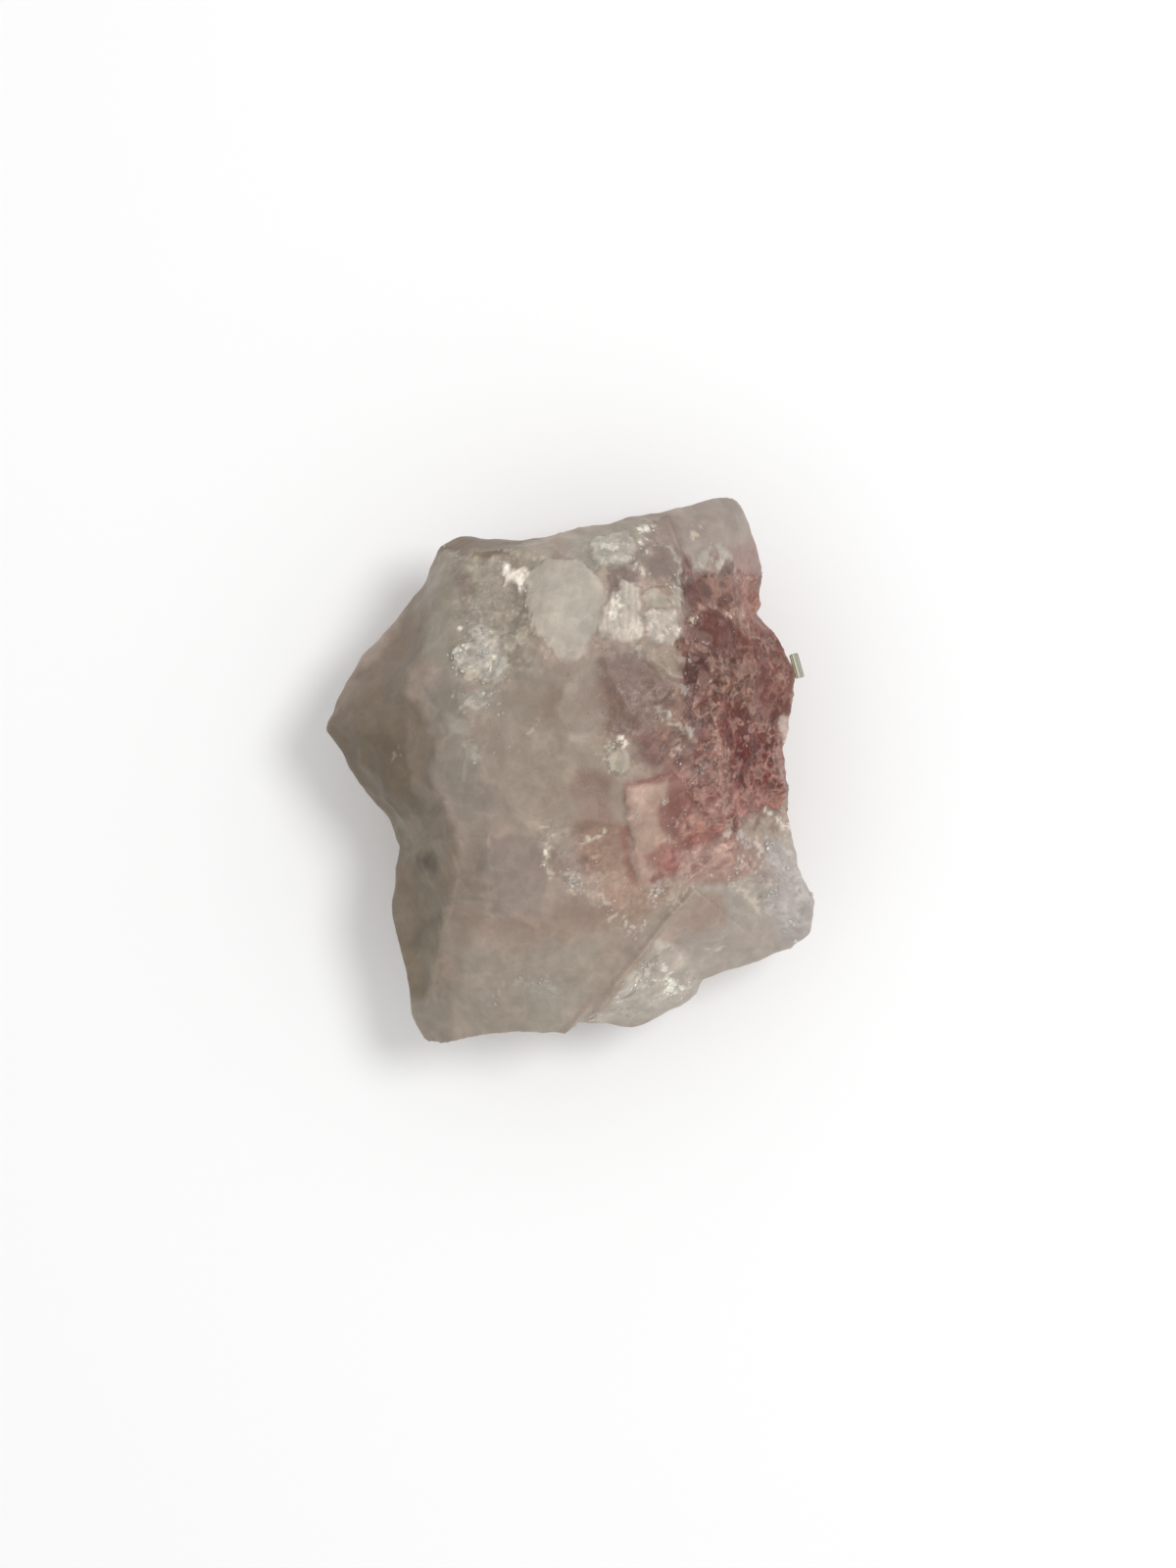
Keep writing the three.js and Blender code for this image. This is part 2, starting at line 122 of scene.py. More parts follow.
# The stone's colours, mixed and shared by its stains, plates and flakes: milky quartz from the glint,
# glitter and gold tints, mostly painted glints, down to olive and the shade tints, partly painted shade,
# then mauves and pinks, then the reds of the tourmaline.
tints = {
    "glint": (0.95, 0.92, 0.78), "bright": (0.9, 0.86, 0.77), "glitter": (0.82, 0.78, 0.67),
    "gold": (0.78, 0.74, 0.55), "snow": (0.69, 0.64, 0.55), "cream": (0.53, 0.47, 0.38),
    "white": (0.49, 0.45, 0.39), "bone": (0.45, 0.41, 0.35), "ice": (0.43, 0.4, 0.34),
    "frost": (0.4, 0.37, 0.32), "milk": (0.36, 0.33, 0.27), "pale": (0.33, 0.3, 0.25),
    "mist": (0.3, 0.26, 0.21), "fog": (0.27, 0.24, 0.19), "dusk": (0.23, 0.2, 0.16),
    "shade": (0.19, 0.15, 0.11), "deepShade": (0.17, 0.13, 0.09), "moss": (0.16, 0.13, 0.085),
    "olive": (0.12, 0.09, 0.055), "darkOlive": (0.08, 0.06, 0.035), "umber": (0.15, 0.11, 0.085),
    "bluish": (0.46, 0.43, 0.41), "pearl": (0.35, 0.31, 0.27), "dove": (0.3, 0.26, 0.23),
    "lilac": (0.36, 0.33, 0.31), "sand": (0.29, 0.24, 0.19), "beige": (0.27, 0.22, 0.17),
    "taupe": (0.22, 0.17, 0.14), "paleMauve": (0.32, 0.26, 0.22), "mauve": (0.25, 0.2, 0.17),
    "mauveGrey": (0.25, 0.19, 0.145), "dustyMauve": (0.2, 0.15, 0.13), "heather": (0.19, 0.1, 0.085),
    "plum": (0.165, 0.1, 0.075), "darkPlum": (0.1, 0.055, 0.045), "shell": (0.29, 0.215, 0.17),
    "peach": (0.32, 0.225, 0.18), "apricot": (0.31, 0.205, 0.15), "pink": (0.31, 0.21, 0.19),
    "palePink": (0.31, 0.19, 0.16), "petal": (0.48, 0.39, 0.34), "rosePetal": (0.6, 0.5, 0.44),
    "rose": (0.22, 0.135, 0.1), "duskRose": (0.26, 0.145, 0.115), "paleSalmon": (0.4, 0.29, 0.23),
    "salmon": (0.22, 0.1, 0.08), "coral": (0.28, 0.12, 0.095), "rust": (0.25, 0.115, 0.085),
    "brick": (0.2, 0.075, 0.055), "scarlet": (0.3, 0.09, 0.075), "russet": (0.165, 0.075, 0.055),
    "cherry": (0.14, 0.048, 0.036), "wine": (0.13, 0.055, 0.045), "mahogany": (0.12, 0.045, 0.027),
    "crimson": (0.12, 0.025, 0.018), "garnet": (0.115, 0.03, 0.02), "ruby": (0.09, 0.012, 0.008),
    "oxblood": (0.06, 0.014, 0.008),
}

# Plates of crystal that lift the skin inside their outline from above: how soft their edge is, how far
# they lift it, with what extra slope towards +X and +Y, their tint, how small they are broken, and for
# some their grooves: depth, spacing and turn in degrees.
plates = {
    "frostedFace": {
        "soft": 0.2, "lift": 0.25, "slope": (-0.03, 0.02), "colour": "ice", "broken": 0.05,
        "grooves": (0.03, 0.9, 75),
        "outline": [
            (-3.8, 20.2), (-2.3, 20.9), (0.6, 21.1), (2.2, 20.1), (3.1, 19), (3.5, 17.6), (3.1, 15.4),
            (2.7, 14.4), (1.8, 13.3), (1.6, 11.4), (0.3, 10.8), (-0.9, 11.2), (-2.3, 12.4), (-3.5, 13.6),
            (-4, 14.3), (-4.3, 16.3), (-4.2, 18.8),
        ],
    },
    "fibrousTooth": {
        "soft": 0.3, "lift": 0.42, "slope": (-0.05, 0), "colour": "white", "broken": 0.3,
        "grooves": (0.16, 0.62, 86),
        "outline": [
            (5.1, 19), (6, 18.8), (6.8, 18.2), (6.9, 16.3), (6.9, 14.3), (6.2, 13.5), (4.5, 13.6),
            (2.9, 14), (2.9, 14.8), (3.5, 16.6), (4.3, 17.9),
        ],
    },
    "upperBlock": {
        "soft": 0.15, "lift": 0.2, "slope": (0, 0.04), "colour": "milk", "broken": 0.3,
        "outline": [(7.3, 18.1), (8.9, 18.4), (10.7, 18.2), (10.9, 17), (10.5, 16.2), (7.3, 16.1)],
    },
    "crackedBlock": {
        "soft": 0.25, "lift": 0.3, "slope": (-0.03, 0.05), "colour": "frost", "broken": 0.6,
        "grooves": (0.1, 1.4, 30),
        "outline": [
            (7.1, 15.9), (10.1, 16), (10.6, 15.4), (11.1, 14), (10.1, 12.7), (8.5, 12.6), (7.2, 13.6),
        ],
    },
    "glassyLump": {
        "soft": 0.2, "lift": 0.4, "slope": (0, -0.05), "colour": "frost", "broken": 0.4,
        "outline": [
            (2, 22.2), (2.1, 21.3), (2.9, 20.6), (4.2, 20.6), (5.7, 21.1), (6.6, 21.8), (6.5, 22.8),
            (5.7, 23.8), (4.2, 24), (2.9, 23.7), (2, 23),
        ],
    },
    "upperCrystal": {
        "soft": 0.15, "lift": 0.25, "slope": (0.08, -0.04), "colour": "dustyMauve", "broken": 0.1,
        "outline": [(8, 22.5), (9.5, 22.6), (10.1, 21.3), (10.7, 19), (8.5, 18.8), (7.9, 19.8)],
    },
    "salmonBlock": {
        "soft": 0.15, "lift": 0.3, "slope": (-0.05, 0.03), "broken": 0.2,
        "outline": [
            (5.3, -1.3), (7.4, -1.2), (8.5, -0.5), (9.9, 0.3), (11.2, -1), (11.4, -3.4), (10.2, -5.4),
            (8.9, -6.6), (9.2, -8.4), (8.3, -9.6), (6.5, -11), (6.1, -8.5), (5.9, -5.5), (5.4, -4.8),
        ],
    },
    "lobeLump": {
        "soft": 0.25, "lift": 0.25, "slope": (-0.06, -0.06), "colour": "frost", "broken": 0.2,
        "outline": [
            (12.3, 20.4), (12.6, 21.6), (13.6, 22.6), (15, 22.9), (16.2, 21.8), (15.6, 20.3),
            (13.6, 19.8),
        ],
    },
    "shellCluster": {
        "soft": 0.2, "lift": 0.35, "slope": (-0.06, -0.05), "colour": "frost", "broken": 0.6,
        "grooves": (0.1, 0.8, 40),
        "outline": [
            (-11.7, 12), (-11.3, 12.5), (-9.5, 12.8), (-9.9, 14.2), (-8.6, 14.8), (-7.7, 13.8),
            (-7.3, 11.8), (-6.1, 10.6), (-7, 9.2), (-8.7, 8.9), (-9.5, 9.5), (-10.7, 10), (-11.5, 10.9),
        ],
    },
    "smallTooth": {
        "soft": 0.2, "lift": 0.3, "slope": (-0.08, -0.02), "colour": "bright", "broken": 0.5,
        "outline": [
            (-7, 20.8), (-6.1, 20.7), (-5.7, 20), (-4.8, 20.3), (-3.8, 19.6), (-4, 18.3), (-5.1, 18.1),
            (-5.5, 18.8), (-6.7, 18.7), (-7, 19.8),
        ],
    },
    "nubDome": {
        "soft": 0.2, "lift": 0.25, "slope": (0.03, 0.03), "colour": "bone", "broken": 0.2,
        "outline": [
            (8.2, -17), (9.7, -16.8), (10.7, -17.4), (11.4, -18.7), (11.5, -20.3), (10, -20.4),
            (8.4, -19.8),
        ],
    },
    "paleKnob": {
        "soft": 0.2, "lift": 0.35, "slope": (-0.04, -0.04), "colour": "milk", "broken": 0.25,
        "outline": [
            (3.6, 1.3), (4.1, 2.1), (5.1, 2.4), (5.9, 1.7), (5.8, 0.5), (5, -0.3), (4, 0), (3.6, 0.7),
        ],
    },
}

# Steps in the skin: how far it rises to the left of a line, over how far this dies out again, and the
# line from above.
steps = {
    "plateEdge": (0.3, 4, [(-10, 3.4), (-12.3, 3.7), (-12.9, 5.2), (-14.7, 8.4), (-15.1, 9.2)]),
    "flankEdge": (0.18, 4, [(-12.2, -3), (-14.9, -0.4), (-15.8, 3.6), (-16.2, 6.8)]),
    "oliveEdge": (0.25, 4, [(-13.6, -22), (-12.6, -15.8), (-11.5, -13.5), (-10.9, -9.9), (-12.2, -6.2)]),
    "panelEdge": (0.18, 5, [(-7.8, -14.4), (-7.9, -10.6), (-7.9, -6.6)]),
    "crest": (0.5, 4, [(11.9, 20), (10.8, 22.6), (9.9, 25.6)]),
    "mauveEdge": (0.4, 3, [(6.2, 12), (8, 10.6), (9.8, 9.2), (11.2, 9)]),
    "mauveFold": (0.35, 3, [(8.6, 6.3), (9.8, 5.2), (10.9, 3.6), (12.3, 2.2)]),
    "footEdge": (0.3, 4, [(-11.5, -27.4), (-12.3, -24), (-12.8, -21.5)]),
    "facetEdge": (0.1, 4, [(17.6, -7.6), (16.6, -11.4), (12.4, -11.6)]),
    "slantEdge": (0.6, 7, [(12, -11.4), (9, -15), (5.6, -19.4), (3, -22.6), (0.6, -26.4)]),
}

# Ground that is broken small: how strongly, how much of the tourmaline's grain it shows, and its outline
# from above.
brokenGround = {
    "upperBand": (0.55, 0, [
        (-12.5, 21.6), (-8.2, 22.4), (1.6, 22.4), (7.5, 24.7), (11.3, 20.7), (12.3, 14.8), (10.3, 8.8),
        (5.5, 10.8), (1.6, 12.2), (-2.2, 10.7), (-6.2, 8.6), (-11, 8.7), (-12, 14.6),
    ]),
    "mauveMiddle": (0.45, 0.15, [
        (3.6, 9.7), (11.3, 8.8), (13.2, -1), (10.3, 0.5), (5.5, -0.5), (3.6, 0.8), (3.7, 4.8),
    ]),
    "mauveRight": (0.6, 0.7, [
        (9.4, 8.6), (12.6, 9.4), (13.4, 0.4), (11, -0.2), (8.6, 1.6), (7.8, 4.2), (8.8, 6.2),
    ]),
    "salmonRight": (0.65, 0.85, [
        (10.6, 0.8), (14, 1), (17, -3), (16.4, -8.6), (13, -10.6), (8.8, -11.4), (7.2, -10.4),
        (8.8, -8.2), (9.6, -6), (11.2, -3.6),
    ]),
    "blush": (0.35, 0.2, [
        (-3.6, -5), (5.6, -5), (6.6, -10.8), (11.2, -10.9), (10.3, -13.8), (5.6, -16.2), (1.8, -13.9),
        (-2.2, -10.9),
    ]),
    "nub": (0.4, 0, [(5.7, -19), (8.6, -16.6), (12, -19.8), (12, -23.3), (5.7, -25), (2.4, -24.8)]),
    "rightCorner": (0.4, 0, [
        (10.5, -7), (17.2, -5), (21, -3.1), (24.5, -11), (24.6, -16), (19.2, -13.7), (15.3, -10.9),
        (11.4, -10.8),
    ]),
}

# Stains of the quartz, and painted shade on the left flank, the top strip and the slanted wall: tint,
# strength, how soft the edge is, and the outline from above.
zones = {
    "upperLeft": ("fog", 0.9, 1.5, [
        (-14.5, 22), (-8, 22.5), (-2, 22), (-2, 14.5), (-6, 8.5), (-11, 8.5), (-18, 14.5)]),
    # these four stains darken the left flank: partly the quartz's own smoky olive colour, partly painted
    # shade where the flank turns away from the light
    "flank": ("deepShade", 0.95, 1.2, [
        (-26, 4.5), (-18, 15), (-15, 19), (-14.5, 10.5), (-15.5, 8.5), (-12.5, 3.5), (-13.5, -1),
        (-11, -6), (-19.5, -5), (-23.5, -1)]),
    "flankLowSmokeAndShade": ("olive", 0.9, 0.9, [
        (-25.5, 3.5), (-23, 4), (-16, 4.5), (-15, 0), (-12.5, -3), (-12.5, -4.5), (-18, -5.5),
        (-23.5, 0)]),
    "flankUpperSmokeAndShade": ("deepShade", 0.6, 1, [(-24.5, 6.5), (-22, 10.5), (-17.5, 12), (-16, 8), (-20, 7)]),
    "flankBandSmokeAndShade": ("shade", 0.8, 0.35, [
        (-16.2, 7), (-15.5, 5), (-14.8, 0), (-12.2, -3), (-14, -3.5), (-15.6, -1.8), (-16.4, 2.8)]),
    "flankStep": ("dusk", 0.85, 0.8, [
        (-15, 8.5), (-12.5, 3.5), (-13, 0), (-11.5, -3), (-10, -10), (-7.5, -11), (-8, -3), (-11, 8.5)]),
    "shellDark": ("dusk", 0.8, 0.2, [(-10.6, 12.2), (-9.2, 12.2), (-9.2, 10.2), (-10.2, 10.4)]),
    "oliveHollow": ("moss", 0.95, 0.6, [
        (-19.5, -4.5), (-15, -4), (-12, -6), (-11, -10), (-12.5, -15.5), (-14, -23), (-17, -23.5),
        (-19, -14.5), (-18.5, -9.5)]),
    "hollowPale": ("shade", 0.85, 0.8, [(-17, -4.5), (-12.5, -3.5), (-11.5, -7.5), (-14, -8), (-17, -8)]),
    "hollowRim": ("shade", 0.8, 0.6, [(-19.5, -12), (-16.5, -12.5), (-16.5, -16), (-19, -16.5)]),
    "oliveBlotchUpper": ("darkOlive", 0.85, 0.75, [
        (-15.4, -8.4), (-14, -8), (-12.8, -9), (-14, -10.4), (-15.6, -10)]),
    "oliveBlotchMiddle": ("olive", 0.8, 0.75, [(-15, -14.8), (-12.8, -14), (-13.2, -15.4), (-15, -16)]),
    "oliveBlotchLow": ("olive", 0.8, 0.75, [(-16, -16), (-15, -16), (-15.4, -17.6), (-16.4, -18)]),
    "brownStreak": ("umber", 0.4, 0.25, [(-11, -10.4), (-7.8, -11.4), (-7.8, -12.2), (-10.2, -11.8)]),
    "mauvePanel": ("mauve", 0.85, 0.4, [
        (-8, -6.6), (-3.6, -6), (-2.2, -11), (-3.4, -14.2), (-7.8, -14.2), (-7.6, -11)]),
    "pinkBand": ("shell", 0.85, 1.2, [
        (-12, -13.5), (-8, -15), (0.5, -13), (5.5, -14), (1.5, -17), (-11, -16.5)]),
    "footGrey": ("mist", 0.9, 1.3, [
        (-13.5, -21), (-11.5, -17.5), (-4, -17.5), (4, -16), (1, -26), (-11.5, -27.5), (-13.5, -26)]),
    "lowerShade": ("shade", 0.6, 1, [
        (-12.5, -8), (-8.5, -6), (-8, -11), (-8.5, -15), (-10.5, -18), (-12.5, -18.5)]),
    "footPale": ("milk", 0.7, 0.9, [(-3.5, -21.5), (1, -21.5), (0.5, -27), (-4, -27)]),
    "footShade": ("shade", 0.6, 0.9, [(-14.5, -18.5), (-11, -18.5), (-11, -23), (-13.5, -23)]),
    "nubTip": ("bone", 0.8, 0.4, [(2, -24.2), (5.6, -23.4), (7.6, -24.6), (7, -26), (2, -26)]),
    "blushShade": ("taupe", 0.6, 0.8, [(-4, -7.5), (1.5, -7.5), (1.5, -10), (-1, -10.5), (-3.5, -10)]),
    "footCorner": ("dusk", 0.85, 0.35, [
        (-17, -23.6), (-13.8, -23), (-12.4, -22), (-11.4, -27.8), (-14.6, -28.6), (-16.4, -26.2)]),
    # painted shade: the top strip is a facet turned away from the light, darkened in its tint
    "topStripShade": ("deepShade", 0.95, 0.2, [
        (-14, 23), (-11.6, 24.8), (-3.8, 24.6), (-2.2, 22.2), (-6, 22.2), (-8.2, 21.1), (-11.2, 21.7),
        (-13, 22.4)]),
    "stripShadow": ("taupe", 0.8, 0.35, [
        (-11.8, 20.4), (-10, 20.2), (-9.6, 18.2), (-10.8, 17.8), (-11.8, 18.8)]),
    "darkPocket": ("fog", 0.8, 0.45, [(-8, 18), (-3.8, 17), (-4, 14.4), (-6.6, 15.2), (-8.2, 16.4)]),
    "whitePatch": ("pale", 0.8, 0.5, [(-11, 7.6), (-8, 8), (-7, 6.6), (-8.5, 5.6), (-10.4, 6.2)]),
    "paleSmear": ("milk", 0.8, 0.25, [(-10.2, 3), (-9.4, 3), (-9, 1.4), (-9.8, 1.2)]),
    "plateCorner": ("pale", 0.8, 0.4, [(-12.4, 5.8), (-10.4, 5), (-10, 3.6), (-12, 3.6)]),
    "centreOlive": ("sand", 0.85, 1.8, [
        (-9, 9.5), (-2, 10), (3.5, 4.5), (5.5, -4), (-2, -6), (-7.5, -4), (-9.5, 2.5)]),
    "mauveMiddle": ("mauveGrey", 0.9, 1.3, [
        (-1.5, 8), (5.5, 11), (11.5, 8.5), (11.5, 0), (6.5, 0), (1.5, 4.5), (-4, 5.5)]),
    "mauveDark": ("plum", 0.9, 0.9, [
        (4, 12.5), (8, 10.5), (11.5, 8.5), (12, 0.5), (8.5, 0.5), (5.5, 2.5), (3, 6.5), (2.5, 12)]),
    "redFringe": ("wine", 0.9, 0.7, [(10.5, 11), (12.5, 11), (13, 5), (11.5, 5), (11, 7.5)]),
    "redFringeLow": ("brick", 0.7, 0.8, [(10, 1), (13, 2.5), (13.5, -8), (11, -8), (10, -4)]),
    "mauveHeart": ("heather", 0.7, 0.6, [(7, 4.4), (9.4, 4.4), (11.6, 1.6), (9.6, 0.2), (7, 1)]),
    "roseShade": ("rose", 0.85, 0.9, [
        (0.5, 0), (2.5, 0.5), (4.5, 0), (4.5, -9.5), (1.5, -10.5), (0, -8)]),
    "upperMauve": ("darkPlum", 0.85, 0.35, [
        (10, 22.4), (11.8, 21.4), (12.6, 20), (15.2, 19.8), (17, 18.8), (16.2, 17.4), (11.4, 17.4),
        (10.8, 20.8)]),
    "brownPocket": ("dustyMauve", 0.9, 0.2, [
        (3.6, 20.4), (4.8, 20.8), (6.4, 20.2), (6.8, 19), (5, 19), (4.2, 17.8), (3.6, 17.4)]),
    "crestSide": ("mauve", 0.85, 0.5, [
        (0.8, 22.2), (5.6, 25.4), (10, 27.2), (11.4, 23), (10.4, 18.2), (7, 20)]),
    "topLobe": ("dove", 0.9, 0.4, [
        (10, 27), (14.6, 28.8), (18.6, 27), (19.8, 22.8), (19.4, 20), (15.4, 19.4), (12.4, 19.8),
        (11.4, 23.2)]),
    "lumpHalo": ("pale", 0.75, 0.5, [
        (-1, 23.8), (5, 25.2), (7.8, 25), (7.4, 22.6), (5.6, 20.6), (2.2, 20), (-0.4, 21)]),
    "rimPale": ("milk", 0.7, 0.4, [(-6.4, 22.4), (-3.4, 23.4), (-1.8, 22.8), (-2.2, 20.8), (-4.6, 20.4)]),
    "lobePink": ("pink", 0.8, 0.8, [(16, 22.5), (20, 24), (20, 19.5), (16.5, 19.5)]),
    "beigeFoot": ("beige", 0.85, 0.3, [
        (5.8, 13.4), (7.8, 12.6), (10.8, 12.6), (11.8, 11.6), (10, 9.6), (8.8, 9.6), (7.2, 11.2)]),
    "toothBase": ("white", 0.8, 0.25, [(2.6, 15), (6.8, 15.2), (7.2, 13.4), (5.6, 12.8), (3, 13.2)]),
    "orangeBlush": ("apricot", 0.8, 1.4, [
        (1, -7), (4.5, -5.5), (5.5, -10), (10.5, -11.5), (7, -15), (3, -13)]),
    "salmon": ("salmon", 0.9, 0.4, [
        (5.2, -1.2), (10, 0.4), (12.4, -0.8), (13, -7), (10.6, -10.4), (6.6, -10.8), (6, -6)]),
    "salmonPale": ("paleSalmon", 0.9, 0.35, [
        (5.2, -1.4), (9.4, -1), (9.2, -2.2), (8.4, -3.6), (8.6, -5.4), (10.2, -6.8), (9.4, -9),
        (6.8, -10.8), (5.8, -4.6)]),
    "blockShade": ("rust", 0.75, 0.3, [(4.6, -5.2), (5.6, -5.2), (5.8, -8), (6.4, -11), (5.4, -11.2)]),
    "salmonRed": ("brick", 0.85, 0.6, [
        (9, -3.4), (10.2, -1.6), (12.6, -2.8), (15.6, -5.6), (15.2, -7.6), (11.6, -8)]),
    "redLow": ("coral", 0.8, 0.35, [(7, -8.2), (10, -6.8), (11.2, -7.6), (10.6, -10), (8.2, -9.4)]),
    "roseFoot": ("palePink", 0.85, 0.8, [(10.5, -8), (17.5, -6), (19, -10), (14.5, -11.5), (11.5, -11)]),
    "rightFacet": ("pearl", 0.95, 0.5, [
        (12, -11.6), (18.6, -10.6), (21.6, -5.8), (26.2, -11.2), (26.2, -17.8), (21.8, -19.4),
        (13, -21.8), (10, -14.2)]),
    "facetTop": ("peach", 0.7, 0.7, [(11, -12), (15.5, -12), (16, -14.5), (13, -16), (10, -15)]),
    "cornerEnd": ("dove", 0.7, 0.5, [(23.6, -12.6), (25.6, -12.6), (25.8, -16.4), (23.8, -16)]),
    "paleCorner": ("lilac", 0.85, 0.9, [
        (20.5, -7), (23.5, -9), (26, -13), (26, -17.5), (21.5, -17.5), (20, -12)]),
    # painted shade: the steep narrow wall between the slanting ridge and its foot, darkened in its tint
    "slantWallShade": ("sand", 0.85, 0.25, [
        (11, -12), (12, -12.2), (8.4, -16.6), (5.4, -20.8), (2.6, -25), (0.4, -26.4), (-1.4, -26.6),
        (4.4, -19), (6.2, -16.2)]),
    "slantMauve": ("paleMauve", 0.7, 0.4, [
        (7.4, -15.6), (8.2, -16), (6.6, -18.8), (3.8, -21), (5.4, -18.6)]),
    "nub": ("frost", 0.9, 0.3, [
        (5.4, -20.6), (6.8, -19.6), (8.4, -16.6), (11, -17), (12.8, -20.6), (13, -24.2), (5.6, -25.8),
        (2.4, -25.8)]),
    "haloRose": ("wine", 0.8, 1.4, [
        (11.5, 18), (19.5, 19), (20.5, -3.5), (15.5, -6), (12.5, -4.5), (12, 2.5), (11, 8.5), (11, 13)]),
}

# Stains of the tourmaline: tint, how soft the edge is, how smooth the stone is there, and the outline
# from above.
redZones = {
    "upperMauve": ("duskRose", 0.3, 0.9, [
        (11.6, 19.9), (13.4, 19.6), (16.4, 19.8), (17.2, 18.6), (16.6, 17.6), (13.6, 18)]),
    "darkUpper": ("wine", 0.25, 0.8, [
        (11.2, 18.6), (13.2, 19.2), (14.4, 18.2), (14, 16.6), (12.2, 16.4), (11, 17.2)]),
    "brownUpper": ("russet", 0.5, 0.3, [
        (14, 18.4), (17.6, 18.8), (18, 16.8), (14, 16.4)]),
    "salmonRight": ("coral", 0.7, 0.4, [
        (17.6, 20.8), (20, 20.8), (19.6, 16), (17, 15.8)]),
    "paleBand": ("duskRose", 0.3, 0, [
        (12.8, 17), (15, 16.6), (17.4, 17.2), (17.6, 15.6), (14.6, 15.8), (12.9, 16)]),
    "darkPatch": ("garnet", 0.25, 0.95, [
        (13.4, 15.9), (15, 15.9), (16.8, 14.6), (18.2, 13.6), (17.4, 12.6), (16, 12.2), (14.2, 12.4),
        (12.8, 13)]),
    "greyRight": ("salmon", 0.4, 0.5, [
        (17.6, 15.6), (19.6, 15.8), (20.4, 14), (18.6, 14.2)]),
    "rosyRight": ("cherry", 0.6, 0.3, [
        (17.6, 14), (20.4, 14), (21.8, 12), (20.6, 9.6), (17.2, 9.8), (16.8, 12)]),
    "redRim": ("russet", 0.4, 0.5, [
        (20.4, 12.4), (22.2, 12.4), (22.6, 10.6), (21.2, 10.8)]),
    "darkLeft": ("oxblood", 0.35, 0.9, [
        (11, 11.4), (12.2, 11.8), (13.8, 10.8), (14, 9.2), (12.8, 8.6), (11.2, 8.8), (10.6, 10)]),
    "darkNotch": ("oxblood", 0.4, 0.2, [
        (15.2, 11.4), (16.8, 11.2), (16.8, 10), (15.4, 10)]),
    "browner": ("mahogany", 0.9, 0, [
        (13.8, 10), (17.6, 10), (17.8, 6.4), (15.6, 5.2), (13.2, 6)]),
    "crimsonRight": ("cherry", 0.5, 0.6, [
        (18.4, 10), (21.6, 9.6), (22.4, 8), (21.6, 5.6), (19.4, 5.2), (18.2, 7)]),
    "core": ("crimson", 0.8, 0, [
        (14.6, 7), (16.6, 7.4), (19, 4.8), (21, 4.4), (21.6, 1), (21.4, -2.2), (18, -2.4), (15.6, -1.2),
        (15.2, 2.4)]),
    "coreBright": ("ruby", 0.35, 0.3, [
        (16.4, 3), (19.4, 3.2), (19.8, 1.4), (17.6, 0.4), (16, 1.4)]),
    "pinkEdge": ("petal", 0.2, 0.6, [
        (21.1, 5.7), (22.2, 6), (22.4, 2.6), (21.3, 2.6)]),
    "edgeRose": ("palePink", 0.4, 0.3, [
        (20.4, 2.6), (21.8, 2.6), (22.2, -0.2), (20.8, 0)]),
    "palerLow": ("salmon", 0.5, 0, [
        (12.8, 4.6), (15, 4.4), (15.6, 2), (15, -1), (12.4, -1.4), (11.6, 1.6)]),
    "fading": ("coral", 0.9, 0.2, [
        (15.2, -1), (18, -2.2), (22.4, -2.2), (22.6, -4.4), (18, -4.8), (15.4, -4.2)]),
    "tongue": ("salmon", 0.8, 0.2, [
        (10.6, -0.6), (15, -1), (15.4, -4.2), (16, -6), (15, -8.4), (10.8, -8.4), (10, -4)]),
    "tongueRed": ("scarlet", 0.4, 0.4, [
        (13.2, -5.4), (15.4, -5.2), (15.6, -7), (13.8, -7.4)]),
}
